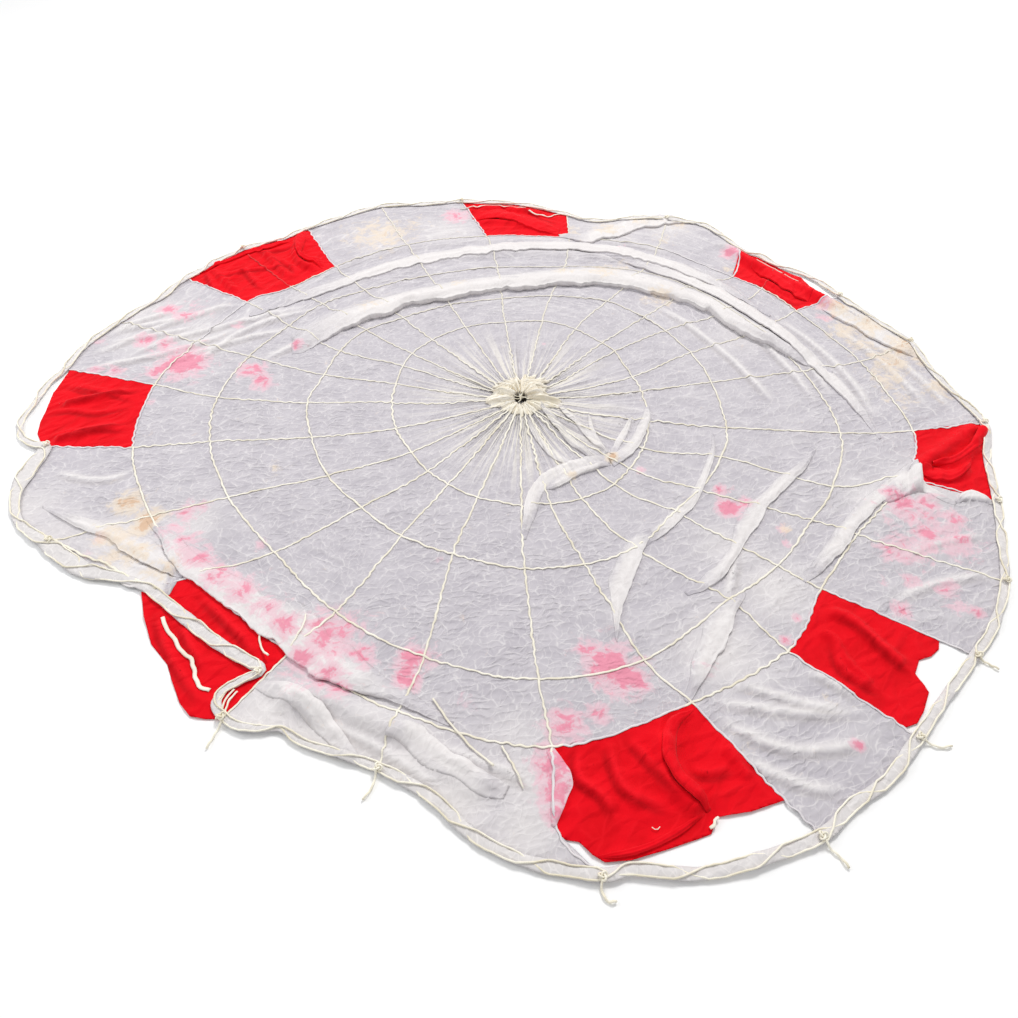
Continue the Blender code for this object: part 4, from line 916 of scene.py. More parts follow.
def sheerMaterial(name, double=0.0, seeThrough=0.0):
    # thin nylon: greyish where it lies in one layer, whiter along creases and where it is doubled
    shares, depths = sheer["shares"], sheer["depths"]
    material, tree, shader = newMaterial(name, 0.72, 0.25)
    coords = node(tree, "TexCoord", {}).outputs["Object"]
    rays, around, slanted, front = layerParts(tree, "lay")
    pinkish, rusty, doubled, crest = layerParts(tree, "stainsAndHighlight")
    goreMap = node(tree, "UVMap", {}, uv_map="goreMap").outputs[0]
    swayed = waved(tree, waved(tree, coords, 7.0, 0.06), 34.0, 0.020)
    goreSwayed = waved(tree, waved(tree, goreMap, 1.5, 0.24), 7.0, 0.07)
    rest = minus(tree, 1.0, plus(tree, rays, plus(tree, around, slanted)), True)
    level = minus(tree, rest, front, True)
    share = {"rays": rays, "around": around, "slanted": slanted, "front": front, "level": level}
    lines, facets = None, None
    for kind, (own, angle, length, width) in sheer["creases"].items():
        drawn = crushed(tree, stretched(tree, goreSwayed if own else swayed, angle, length, width))
        weighed = [times(tree, part, share[kind]) for part in drawn]
        lines = weighed[0] if lines is None else plus(tree, lines, weighed[0])
        facets = weighed[1] if facets is None else plus(tree, facets, weighed[1])
    small = crushed(tree, stretched(tree, swayed, 62, 0.033, 0.015), 0.11)
    lines = plus(tree, lines, times(tree, small[0], shares["small"]), True)
    cloud = noiseField(tree, stretched(tree, swayed, 20, 0.075, 0.045), 1.0, 3.0, 0.6)
    colour = mixed(tree, between(tree, cloud, 0.35, 0.65), sheer["deep"], sheer["plain"])
    doubled = plus(tree, doubled, double, True)
    colour = mixed(tree, doubled, colour, sheer["doubled"])
    colour = mixed(tree, times(tree, lines, shares["lines"]), colour, sheer["creased"])
    # crests: whiter where the sheer cloth stacks up, and partly a painted highlight
    colour = mixed(tree, times(tree, crest, shares["crest"]), colour, sheer["creased"])
    outward = node(tree, "SeparateXYZ", {"Vector": goreMap}).outputs[1]
    nearVent = between(tree, outward, 0.10, 1.05, 1.0, 0.0)
    pleats = noiseField(tree, stretched(tree, waved(tree, goreMap, 4.0, 0.10), 0, 0.15, 1.3), 1.0, 2.0)
    gathered = times(tree, nearVent, between(tree, pleats, 0.47, 0.60))
    colour = mixed(tree, times(tree, gathered, shares["gathered"]), colour, sheer["gathered"])
    # painted shade in the troughs between the vent's pleats and in the hollows in front of creases
    hollowShade = times(tree, nearVent, between(tree, pleats, 0.46, 0.32))
    shade = node(tree, "Attribute", {}, attribute_name="shade").outputs["Fac"]
    hollowShade = plus(tree, times(tree, hollowShade, shares["hollowShade"]), times(tree, shade, shares["shade"]), True)
    colour = mixed(tree, hollowShade, colour, sheer["hollowShade"])
    blot = noiseField(tree, waved(tree, coords, 14.0, 0.07), 30.0, 6.0, 0.68)
    pinkness = plus(tree, times(tree, pinkish, 0.62), blot)
    colour = mixed(tree, between(tree, pinkness, 0.66, 0.86, 0.0, 0.75), colour, sheer["palePink"])
    colour = mixed(tree, between(tree, pinkness, 0.88, 1.02, 0.0, 0.80), colour, sheer["pink"])
    rustiness = plus(tree, times(tree, rusty, 0.60), blot)
    colour = mixed(tree, between(tree, rustiness, 0.62, 0.84, 0.0, 0.75), colour, sheer["cream"])
    colour = mixed(tree, between(tree, rustiness, 0.86, 1.02, 0.0, 0.70), colour, sheer["rust"])
    tree.links.new(colour, shader.inputs["Base Color"])
    smooth = minus(tree, 1.0, doubled)
    patches = noiseField(tree, stretched(tree, swayed, 30, 0.16, 0.11), 1.0, 2.0)
    patchy = between(tree, patches, 0.36, 0.62, 0.15, 1.0)
    bumped(tree, shader, [
        (times(tree, facets, times(tree, smooth, patchy)), depths["facets"]), (small[1], depths["small"]),
        (cloud, depths["cloud"]), (times(tree, nearVent, pleats), depths["pleats"]),
        (weaveHeight(tree, coords, sheer["weave"]), depths["weave"])])
    if seeThrough:
        clear = node(tree, "BsdfTransparent", {})
        closed = plus(tree, times(tree, lines, 0.5), doubled, True)
        clearness = between(tree, closed, 0.0, 1.0, seeThrough, 0.02)
        out = tree.nodes["Material Output"]
        both = node(tree, "MixShader", {0: clearness, 1: shader.outputs[0], 2: clear.outputs[0]})
        tree.links.new(both.outputs[0], out.inputs["Surface"])
    return material


# the brightest red is a painted highlight, and the darkest a painted shade colour for hollows
redCloth = {
    "plain": paint(227, 2, 22), "deep": paint(216, 1, 18), "light": paint(238, 20, 34),
    "doubled": paint(232, 4, 25), "hollowShade": paint(168, 0, 12), "weave": 0.0016,
}


def redMaterial():
    # red nylon: painted shade in the hollows, a painted highlight on crests and crease lines, a little
    # brighter where it is folded over
    material, tree, shader = newMaterial("redNylon", 0.75, 0.04)
    shader.inputs["Specular IOR Level"].default_value = 0.08
    coords = node(tree, "TexCoord", {}).outputs["Object"]
    _, _, doubled, crest = layerParts(tree, "stainsAndHighlight")
    swayed = waved(tree, waved(tree, coords, 7.0, 0.05), 24.0, 0.02)
    folded = noiseField(tree, stretched(tree, swayed, 60, 0.14, 0.05), 1.0, 2.0)
    short, facets = crushed(tree, stretched(tree, swayed, 40, 0.090, 0.034))
    shade = node(tree, "Attribute", {}, attribute_name="shade").outputs["Fac"]
    # painted shade: deep in the low parts of the folded pattern, the darkest red in front of creases;
    # painted highlight: the brightest red on crease lines and crests
    colour = mixed(tree, between(tree, folded, 0.36, 0.56), redCloth["deep"], redCloth["plain"])
    colour = mixed(tree, times(tree, short, 0.35), colour, redCloth["light"])
    colour = mixed(tree, doubled, colour, redCloth["doubled"])
    colour = mixed(tree, times(tree, crest, 0.75), colour, redCloth["light"])
    colour = mixed(tree, times(tree, shade, 0.70), colour, redCloth["hollowShade"])
    tree.links.new(colour, shader.inputs["Base Color"])
    weave = weaveHeight(tree, coords, redCloth["weave"])
    bumped(tree, shader, [(facets, 0.0026), (folded, 0.005), (weave, 0.0002)])
    return material


def tapeMaterial(name, colour, shade, rib, far=None):
    # woven tape with a ribbed face; its own map gives metres along it in u and its width in v
    material, tree, shader = newMaterial(name, 0.75, 0.2)
    coords = node(tree, "TexCoord", {}).outputs["Object"]
    own = node(tree, "UVMap", {}, uv_map="ownMap").outputs[0]
    ribbed = {"Vector": own, "Scale": waveRepeat / rib, "Distortion": 1.5}
    ribs = node(tree, "TexWave", ribbed, bands_direction="X").outputs["Fac"]
    blot = noiseField(tree, coords, 14.0, 3.0)
    tone = mixed(tree, between(tree, blot, 0.30, 0.62), paint(*shade), paint(*colour))
    tone = mixed(tree, between(tree, ribs, 0.15, 0.0, 0.0, 0.35), tone, paint(*shade))
    if far:  # the tapes are greyer towards the back
        back = node(tree, "SeparateXYZ", {"Vector": coords}).outputs[1]
        tone = mixed(tree, between(tree, back, -0.10, 0.45, 0.0, 0.55), tone, paint(*far))
    tree.links.new(tone, shader.inputs["Base Color"])
    bumped(tree, shader, [(ribs, 0.0002), (noiseField(tree, coords, 110.0), 0.0004)])
    return material


# ---- long pieces laid along a line ----

fullTurn = 6.2832


def grid(along, across, place):
    # a grid of faces whose corners go where place(i, j) says; the map counts along it in u and across in v
    bm = bmesh.new()
    bmesh.ops.create_grid(bm, x_segments=along, y_segments=across, size=0.5, calc_uvs=False)
    layer = bm.loops.layers.uv.new("ownMap")
    spot = {v: (round((v.co.x + 0.5) * along), round((v.co.y + 0.5) * across)) for v in bm.verts}
    for face in bm.faces:
        for loop in face.loops:
            i, j = spot[loop.vert]
            loop[layer].uv = (i / along, j / across)
    for v, (i, j) in spot.items():
        v.co = place(i, j)
    return bm


def stretchMap(bm, length):
    layer = bm.loops.layers.uv["ownMap"]
    for face in bm.faces:
        face.smooth = True
        for loop in face.loops:
            loop[layer].uv.x *= length


def beforeAndAfter(line, i, closed):
    if closed:
        return line[i - 1], line[(i + 1) % len(line)]
    return line[max(i - 1, 0)], line[min(i + 1, len(line) - 1)]


def normalsOf(line, closed=False):
    found = []
    for i in range(len(line)):
        behind, ahead = beforeAndAfter(line, i, closed)
        d = (ahead - behind).normalized()
        found.append(Vector((-d.y, d.x)))
    return found


def lengthOf(line, closed=False):
    chain = line + [line[0]] if closed else line
    return sum((b - a).length for a, b in zip(chain, chain[1:]))


def swayed(line, amount, period, shift, closed=False):
    # a line that wanders from side to side, as a tape does where the cloth under it has shrunk
    side = normalsOf(line, closed)
    reach, out = 0.0, []
    for i, p in enumerate(line):
        if i:
            reach += (p - line[i - 1]).length
        calm = 0.5 + 0.9 * noise.noise(Vector((reach / period * 0.21, shift, 7.5)))
        drift = 4 * noise.noise(Vector((reach / period * 0.4, shift, 3.5)))
        wave = max(0.1, calm) * math.sin(reach / period * 6.283 + shift + drift)
        wave += 1.3 * noise.noise(Vector((reach / period * 0.9, shift, 0.5)))
        end = 1.0 if closed else min(1.0, i / 4, (len(line) - 1 - i) / 4)
        out.append(p + side[i] * amount * wave * end)
    return out


def overGround(rows, collarToo=False):
    # rows of plan points; the same points with the cloth's height
    flat = [p + apex for row in rows for p in row]
    heights = clothHeight([(p.x, p.y) for p in flat])
    if collarToo:
        heights = heights + collarHeight(np.array([tuple(p - apex) for p in flat]))
    places = [Vector((p.x, p.y, z)) for p, z in zip(flat, heights)]
    count = len(rows[0])
    return [places[i * count:(i + 1) * count] for i in range(len(rows))]


def makeStrip(name, line, widths, lift, thickness, material, closed=False, crown=0.0, across=3,
              wrinkle=0.0):
    # a strip of cloth or tape that lies on the cloth below, a little bowed across, with small wrinkles
    side = normalsOf(line, closed)
    shares = [j / across * 2 - 1 for j in range(across + 1)]
    rows = [[p + n * w / 2 * s for s in shares] for p, n, w in zip(line, side, widths)]
    ground = overGround(rows, name.startswith("radial"))
    if closed:
        ground.append(ground[0])
    tops = []
    for i, row in enumerate(ground):
        high = max(p.z for p in row)
        wave = wrinkle * (0.5 + 0.5 * noise.noise(Vector((i * 0.45, len(name) * 3.7, 0.0))))
        out = []
        for s, p in zip(shares, row):
            flat = high * 0.6 + p.z * 0.4
            out.append(Vector((p.x, p.y, max(flat, p.z) + lift + wave + crown * (1 - s * s))))
        tops.append(out)
    bm = grid(len(tops) - 1, across, lambda i, j: tops[i][j])
    stretchMap(bm, lengthOf(line, closed))
    if closed:
        bmesh.ops.remove_doubles(bm, verts=bm.verts, dist=1e-6)
    return addThin(name, bm, thickness, material)


def makeRope(name, line, radius, material, closed=False, lobes=3, turn=9.0, around=9):
    # a laid rope: its section has one bulge for each strand and turns as it goes
    frames = []
    reach = 0.0
    for i, p in enumerate(line):
        behind, ahead = beforeAndAfter(line, i, closed)
        d = (ahead - behind).normalized()
        sideways = d.cross(Vector((0, 0, 1)))
        sideways = sideways.normalized() if sideways.length > 1e-4 else Vector((1, 0, 0))
        frames.append((p, sideways, sideways.cross(d), reach))
        reach += (ahead - p).length
    if closed:
        frames.append((*frames[0][:3], reach))
    turns = round(reach / radius / turn) if closed else reach / radius / turn

    def place(i, j):
        p, right, up, far = frames[i]
        angle = fullTurn * (j % around) / around
        bulge = radius * (0.86 + 0.14 * math.cos(lobes * (angle - fullTurn * turns / lobes * far / reach)))
        return p + right * math.cos(angle) * bulge + up * math.sin(angle) * bulge

    bm = grid(len(frames) - 1, around, place)
    stretchMap(bm, reach)
    bmesh.ops.remove_doubles(bm, verts=bm.verts, dist=1e-6)
    if not closed:
        bmesh.ops.holes_fill(bm, edges=[e for e in bm.edges if e.is_boundary], sides=around + 1)
    bmesh.ops.recalc_face_normals(bm, faces=bm.faces)
    obj = addMesh(name, bm, material)
    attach(obj, "root")
    return obj


# ---- line stubs ----

stubs = {
    "thickness": 0.0056, "gap": 0.0006, "rise": 0.0034, "start": 0.0100, "startOnCloth": 0.0110,
    "onCloth": "line_stub_07",
    "routes": {
        "line_stub_01": ((-642, -1090), (-650, -1108), (-657, -1130), (-664, -1154)),
        "line_stub_02": ((-303, -1198), (-304, -1220), (-311, -1244), (-324, -1264)),
        "line_stub_03": ((143, -1414), (140, -1436), (150, -1456), (166, -1456)),
        "line_stub_04": ((574, -1340), (584, -1358), (598, -1373), (610, -1394)),
        "line_stub_05": ((836, -1124), (852, -1136), (874, -1144), (898, -1140)),
        "line_stub_06": ((1036, -914), (1047, -928), (1060, -938), (1074, -950)),
        "line_stub_07": ((-578, -930), (-594, -914), (-606, -892), (-612, -872)),
    },
}


def makeStub(name, route, material):
    plan = smoothLine(planPoints(route), 8)
    radius = stubs["thickness"] / 2
    onCloth = name == stubs["onCloth"]
    line = []
    for k, p in enumerate(plan):
        share = k / (len(plan) - 1)
        start = stubs["startOnCloth"] if onCloth else stubs["start"]
        high = radius + stubs["gap"] + start * (1 - smoothStep(share * 2.2))
        high += stubs["rise"] * math.sin(share * 9.0) ** 2 * share
        line.append(Vector((p.x + apex.x, p.y + apex.y, high)))
    if onCloth:
        for p, ground in zip(line, clothHeight([(q.x, q.y) for q in line])):
            p.z += ground
    obj = makeRope(name + "_cord", line, radius, material)
    lengthOf(line)
    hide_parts(name)


# ---- skirt band ----

band = {
    "step": 0.008, "lift": 0.0014, "crown": 0.0022, "thickness": 0.0006, "wrinkle": 0.004,
    "cord": 0.0023, "cordCross": 0.150, "cordReach": 0.44, "cordLift": 0.0025, "cordOver": 0.0021,
    "line": (  # angle in degrees, radius and width in millimetres
        (173.4, 1468, 26), (176.5, 1484, 26), (181.0, 1485, 22), (183.4, 1493, 22), (186.0, 1474, 22),
        (187.6, 1437, 26), (188.7, 1390, 44), (190.9, 1404, 60), (193.8, 1424, 56), (196.7, 1434, 34),
        (200.9, 1418, 28), (205.5, 1354, 46), (209.0, 1312, 56), (212.0, 1276, 48), (215.2, 1212, 32),
        (218.2, 1174, 30), (221.5, 1156, 34), (225.5, 1144, 38), (230.7, 1137, 38), (235.0, 1130, 36),
        (238.4, 1128, 30), (237.6, 1170, 24), (236.9, 1218, 24), (238.0, 1252, 24), (240.8, 1262, 24),
        (243.3, 1242, 20), (245.0, 1222, 20), (247.6, 1232, 20), (251.2, 1230, 22), (255.6, 1232, 26),
        (259.6, 1254, 30), (262.4, 1284, 30), (264.8, 1326, 30), (267.0, 1356, 30), (270.7, 1390, 30),
        (275.8, 1418, 32), (278.2, 1414, 30), (282.7, 1443, 32), (287.0, 1450, 32), (293.2, 1452, 32),
        (297.1, 1428, 30), (301.2, 1424, 30), (306.6, 1397, 30), (310.4, 1384, 26), (318.6, 1380, 28),
        (323.0, 1386, 26), (329.8, 1380, 26), (337.8, 1356, 26), (342.3, 1353, 26), (349.0, 1351, 26),
        (353.6, 1370, 28), (356.9, 1388, 30), (362.5, 1354, 26), (367.7, 1335, 26), (374.5, 1346, 26),
        (381.3, 1316, 26), (388.8, 1312, 26), (395.8, 1322, 26), (400.9, 1287, 26), (404.7, 1303, 26),
        (408.3, 1290, 26), (413.5, 1350, 28), (418.5, 1392, 30), (423.4, 1345, 26), (428.0, 1300, 26),
        (435.6, 1242, 26), (441.0, 1270, 26), (450.0, 1350, 28), (459.9, 1385, 28), (465.0, 1398, 28),
        (473.5, 1440, 28), (481.0, 1420, 26), (486.9, 1408, 26), (492.0, 1390, 26), (498.6, 1412, 26),
        (508.9, 1427, 26), (514.6, 1409, 26), (518.5, 1429, 26), (523.5, 1450, 26), (528.2, 1473, 26)),
}


def bandCourse():
    curve = smoothLine([Vector((*polar(a, r / 1000), w / 1000)) for a, r, w in band["line"]], 4, True)
    course = evenLine(curve, band["step"], True)
    return [Vector((p.x, p.y)) for p in course], [p.z for p in course]


def makeBand(cloth, cord):
    line, widths = bandCourse()
    worn = [w * (0.86 + 0.22 * noise.noise(Vector((k * 0.16, 4.0, 0.0)))) for k, w in enumerate(widths)]
    obj = makeStrip("skirt_band_cloth", line, worn, band["lift"], band["thickness"], cloth, True,
                    band["crown"], 6, band["wrinkle"])
    lengthOf(line, True)
    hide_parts("skirt_band")
    side = normalsOf(line, True)
    count = round(lengthOf(line, True) / band["cordCross"] / 2) * 2
    for which in (0, 1):
        route = []
        for k, (p, n, w) in enumerate(zip(line, side, worn)):
            phase = count * 3.14159 * k / len(line) + 1.2 * noise.noise(Vector((k * 0.02, 8.0, 0.0)))
            sway = max(-1.0, min(1.0, 1.7 * math.sin(phase))) * (1 if which else -1)
            sway += 0.10 * noise.noise(Vector((k * 0.35, 3.0 + 6 * which, 0.0)))
            route.append((p + n * sway * w * band["cordReach"], math.cos(phase) * (1 if which else -1)))
        ground = overGround([[p] for p, _ in route])
        lift = band["lift"] + band["crown"] + band["thickness"] + band["cordLift"]
        tube = []
        for (g,), (_, over) in zip(ground, route):
            tube.append(Vector((g.x, g.y, g.z + lift + band["cordOver"] * over)))
        rope = makeRope("skirt_cord_%d" % (which + 1), tube, band["cord"], cord, True)


# ---- tapes ----

tapes = {
    "width": 0.0060, "thickness": 0.0004, "lift": 0.0004, "crown": 0.0003, "step": 0.006,
    "sway": 0.0022, "swayLength": 0.031, "ringLift": 0.0009, "wrinkle": 0.0008, "startFront": 0.030,
    "startBack": 0.075,
}


def ringLine(ring):
    return smoothLine([polar(*corners[ring]) for corners in seams.values()], 8, True)


besideRed = ("01", "03", "06", "07", "08", "09", "11", "12", "14", "16", "19", "21", "23", "25")
acrossRed = ("15", "22")  # seams whose outer part crosses a red panel
ringBesideRed = (
    (220.0, 239.6), (272.9, 289.5), (304.0, 315.6), (343.2, 354.2), (397.8, 421.0), (439.3, 456.9),
    (500.7, 523.2), (535.3, 551.1))


def hideBesideRed(obj, name):
    # the cream tape ends where a seam meets a red panel: there the white cloth laps over it, or the
    # seam is red
    for face in obj.data.polygons:
        spot = Vector(face.center.xy) - apex
        angle = math.degrees(math.atan2(spot.y, spot.x)) % 360
        seam = name[-2:]
        if name == "ring_tape_D":
            turns = (angle, angle + 360)
            lapped = any(low + 1 < turn < high - 1 for low, high in ringBesideRed for turn in turns)
            face.material_index = 1 if lapped else 0
        elif seam in (*besideRed, *acrossRed) and spot.length > seams[seam][3][1] + 0.01:
            face.material_index = 1 if seam in besideRed else 2


def makeTape(name, line, lift, material, closed=False):
    even = evenLine(line, tapes["step"], closed)
    line = swayed(even, tapes["sway"], tapes["swayLength"], sum(map(ord, name)) * 0.7, closed)
    widths = []
    for k in range(len(line)):
        uneven = noise.noise(Vector((k * 0.31, len(name), ord(name[-1]) * 0.9)))
        widths.append(tapes["width"] * (0.84 + 0.30 * uneven))
    obj = makeStrip(name + "_woven", line, widths, lift, tapes["thickness"], material, closed,
                    tapes["crown"], 2, tapes["wrinkle"])
    obj.data.materials.append(lapCloth)
    obj.data.materials.append(redSeam)
    hideBesideRed(obj, name)
    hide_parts(name)
    return obj


def makeTapes(material):
    made = []
    for name, corners in seams.items():
        # towards the front the tapes run up to the mouth, and elsewhere they end under the collar
        start = tapes["startFront"] if 195 < corners[0][0] < 345 else tapes["startBack"]
        points = [polar(corners[0][0], start)] + [polar(*corner) for corner in corners[:4]]
        if name in seamBows:
            points.append(polar(*seamBows[name]))
        points.append(polar(*corners[4]))
        line = smoothLine(points, 8)
        made.append(makeTape("radial_tape_" + name, line, tapes["lift"], material))
    for k, ring in enumerate(rings):
        made.append(makeTape("ring_tape_" + ring, ringLine(k), tapes["ringLift"], material, True))
    return made


# Thin white hem lines in the red panels and tapes that lie loose on the cloth: width and course.
hemLines = {
    "06left": (6, ((-241, 1306), (-202, 1300), (-171, 1293), (-136, 1307), (-103, 1310), (-77, 1301),
        (-51, 1289), (-15, 1306), (6, 1306), (29, 1280))),
    "06right": (7, (
        (42, 1262), (64, 1244), (83, 1236), (124, 1229), (154, 1250), (180, 1263), (200, 1259))),
    "05left": (6, ((901, 875), (927, 843), (955, 801), (976, 776))),
    "05right": (5, ((980, 766), (1004, 735), (1020, 716))),
    "02end": (7, ((359, -1320), (370, -1314), (371, -1304), (380, -1298))),
    "02thread": (1.1, ((246, -1319), (254, -1325), (262, -1318))),
    "leftRim": (7, ((-1337, -488), (-1291, -521), (-1242, -553), (-1198, -574), (-1126, -615),
        (-1050, -651), (-972, -696), (-892, -734))),
    "looseFront": (5.2, ((-199, -1035), (-158, -1094), (-105, -1157), (-63, -1197))),
    "looseMiddle": (4.8, ((-47, -1147), (-26, -1186), (-3, -1240))),
    "looseCorner": (5, ((-538, -911), (-524, -875), (-513, -840), (-514, -811))),
    "strandLeft": (5, ((-659, -1089), (-663, -1055), (-659, -1028), (-648, -1007))),
    "strandMiddle": (5, ((-650, -1089), (-653, -1057), (-649, -1032), (-638, -1012))),
    "strandRight": (5, ((-639, -1089), (-644, -1062), (-641, -1037), (-630, -1017))),
}


hemLook = {
    "step": 0.006, "sway": 0.0016, "swayLength": 0.034, "lift": 0.0034, "thickness": 0.0006, "crown": 0.0006,
    "wrinkle": 0.0012,
}
redHemLook = {
    "step": 0.007, "sway": 0.0042, "swayLength": 0.038, "lift": 0.0016, "thickness": 0.0010, "crown": 0.001,
    "wrinkle": 0.002, "width": 0.0088,
}


def hemCourse(route, look, shift):
    line = evenLine(smoothLine(planPoints(route), 6), look["step"])
    return swayed(line, look["sway"], look["swayLength"], shift)


def hemStrip(name, line, widths, look, material):
    return makeStrip(name, line, widths, look["lift"], look["thickness"], material, False, look["crown"], 3,
                     look["wrinkle"])


def makeHemLine(name, width, route, material):
    line = hemCourse(route, hemLook, len(name))
    uneven = [noise.noise(Vector((k * 0.4, len(name), 0.0))) for k in range(len(line))]
    widths = [width / 1000 * (0.85 + 0.4 * u) for u in uneven]
    obj = hemStrip("hem_line_" + name, line, widths, hemLook, material)
    return obj


redHemTape = ((-854, -816), (-836, -846), (-814, -872), (-790, -900), (-758, -930), (-744, -960),
              (-722, -998), (-692, -1014))


def makeRedHemTape(material):
    line = hemCourse(redHemTape, redHemLook, 2.0)
    obj = hemStrip("red_hem_tape_woven", line, [redHemLook["width"]] * len(line), redHemLook, material)
    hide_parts("red_hem_tape")


# ---- doubled folds ----

foldBand = {
    "step": 0.007, "rowStep": 1.4, "lift": 0.0008, "gap": 0.0004, "thickness": 0.0004, "end": 7,
    "shares": (0.0, 0.12, 0.25, 0.38, 0.51, 0.64, 0.76, 0.87, 0.95, 1.0),  # rows from the far edge on
    "under": ((0.0009, 0.62), (0.0009, 0.30), (-0.0008, 0.02)),  # further rows: step out, share of height
    "foot": 0.006,  # how far in front of it the ground's height is taken
    "toneEnd": 4, "doubled": 0.84, "bright": 0.8,
}


def makeFoldBand(name, fold, material):
    # cloth turned over on itself: it leaves the sheet softly on the far side and rolls under itself on
    # the near one
    pairs = [Vector((*a, *b)) for a, b in zip(fold["far"], fold["near"])]
    pairs = evenLine(pairs, foldBand["step"] * foldBand["rowStep"])
    shares, turnedUnder = foldBand["shares"], foldBand["under"]
    shift = sum(map(ord, name)) * 0.3
    plan = []
    for i, p in enumerate(pairs):
        a, b = Vector((p[0], p[1])), Vector((p[2], p[3]))
        wander = 0.16 * noise.noise(Vector((i * 0.10, shift, 0.0)))
        wander += 0.07 * noise.noise(Vector((i * 0.31, shift, 4.0)))
        start = 0.30 * noise.noise(Vector((i * 0.09, shift, 9.0)))
        row = [a.lerp(b, start * (1 - s) + s * (1 + wander)) for s in shares]
        out = (b - a).normalized()
        row += [row[-1] + out * reach for reach, _ in turnedUnder]
        plan.append([*row, row[-1] + out * foldBand["foot"]])
    ground = overGround(plan)
    n = len(plan)

    def place(i, j):
        p = ground[i][j].copy()
        end = smoothStep(min(i, n - 1 - i) / (n - 1) * foldBand["end"])
        foot = ground[i][-1].z
        if j >= len(shares):
            share = turnedUnder[j - len(shares)][1]
            p.z = foot + foldBand["gap"] + fold["high"] * end * share
            return p
        s = shares[j]
        wobble = noise.noise(Vector((i * 0.10, s * 2.2, shift)))
        swell = smoothStep(min(1.0, s * 1.5)) * (1 - 0.26 * s ** 4)
        crease = 0.10 * math.sin(s * 11 + 3 * noise.noise(Vector((i * 0.05, 2.0, shift))))
        own = foot + fold["high"] * end * (swell + 0.24 * wobble * s + crease)
        blend = min(1.0, s * 5)
        p.z = max(p.z + foldBand["lift"] * min(1.0, s * 4), own * blend + p.z * (1 - blend))
        return p

    bm = grid(n - 1, len(shares) + len(turnedUnder) - 1, place)
    stretchMap(bm, n * foldBand["step"])
    bm.verts.index_update()
    places = np.array([v.co.xy for v in bm.verts]) - np.array(apex)
    giveGoreMap(bm, places)
    away, _, along = besideLine(places, fold["near"])
    end = endFade(along, foldBand["toneEnd"])
    share = away / (widthAlong(fold, along) + 1e-4)
    streak = np.clip(1 - np.abs(noiseAt(np.stack([along * 9, share * 3.6], 1), (1, 1), 3.0)) * 4, 0, 1)
    edge = smoothStep(1 - share * 5)
    doubled = end * smoothStep((1.15 - share) * 1.6) * foldBand["doubled"]
    # the rolled edge and the streaks take the crest tone, which is a painted highlight on red bands and
    # partly one on white bands
    colourCloth(bm, places, doubled, foldBand["bright"] * np.maximum(edge, streak) * end)
    obj = addThin(name + "_fold", bm, foldBand["thickness"], material)
    return obj


# ---- vent collar ----

collar = {
    "mouth": 0.019, "outer": 0.066, "high": 0.026, "thickness": 0.0006, "well": 0.0040, "pleat": 0.0120,
    "lobes": (  # angle, spread and reach
        (92.0, 42.0, 0.048), (-4.0, 20.0, 0.058), (178.0, 22.0, 0.040), (40.0, 18.0, 0.018),
        (140.0, 18.0, 0.016)),
    "line": 0.0013, "lineAngles": (25.7, 77.1, 154.3), "lineReach": 0.030, "lineHigh": 0.031,
    "around": 260, "lift": 0.0010,
    "shares": (0.0, 0.0, 0.04, 0.10, 0.18, 0.27, 0.36, 0.46, 0.56, 0.66, 0.76, 0.85, 0.92, 0.97, 1.0),
    "tuft": {
        "middle": (0.000, 0.070), "radius": 0.078, "high": 0.013, "pleats": 19, "around": 150, "out": 8,
        "lift": 0.0016, "follow": 0.42,
    },
    # the last colour is a painted shade for the inner wall at the mouth, where the vent's well is dark
    "deep": paint(222, 211, 190), "plain": paint(246, 239, 224), "bright": paint(252, 248, 240),
    "olive": paint(206, 192, 150), "inside": paint(92, 78, 58),
}


def collarShape(angle):
    # the outer edge, the pleats and how high the gathered cloth stands, at an angle in degrees
    outer = np.full(len(angle), collar["outer"])
    for middle, spread, reach in collar["lobes"]:
        away = (angle - middle + 180) % 360 - 180
        outer = outer + reach * np.exp(-(away / spread) ** 2)
    turn = np.radians(angle)
    ring = np.stack([np.cos(turn), np.sin(turn)], 1)
    outer = outer + 0.012 * noiseAt(ring, (7.0, 7.0), 2.2) + 0.008 * noiseAt(ring, (19.0, 19.0), 5.2)
    broad = np.sin(turn * 15 + 2.2 * np.sin(turn * 3 + 1))
    pleat = broad * 0.6 + np.sin(turn * 31 + 2.0 * np.cos(turn * 2)) * 0.4
    stand = 0.30 + 0.70 * smoothStep((ring[:, 1] + 0.55) / 1.1)
    return outer, pleat, stand


def collarHeight(points):
    radius = radiusOf(points)
    angle = np.degrees(np.arctan2(points[:, 1], points[:, 0]))
    outer, pleat, stand = collarShape(angle)
    share = np.clip((radius - collar["mouth"]) / (outer - collar["mouth"]), 0, 1)
    swell = np.sin(math.pi * (0.22 + 0.78 * share)) ** 0.7
    swell = np.where(share >= 1, 0, swell)
    pleats = collar["pleat"] * pleat * np.sqrt(swell) * 0.5 * stand
    return collar["high"] * swell * stand * (0.85 + 0.15 * pleat) + pleats


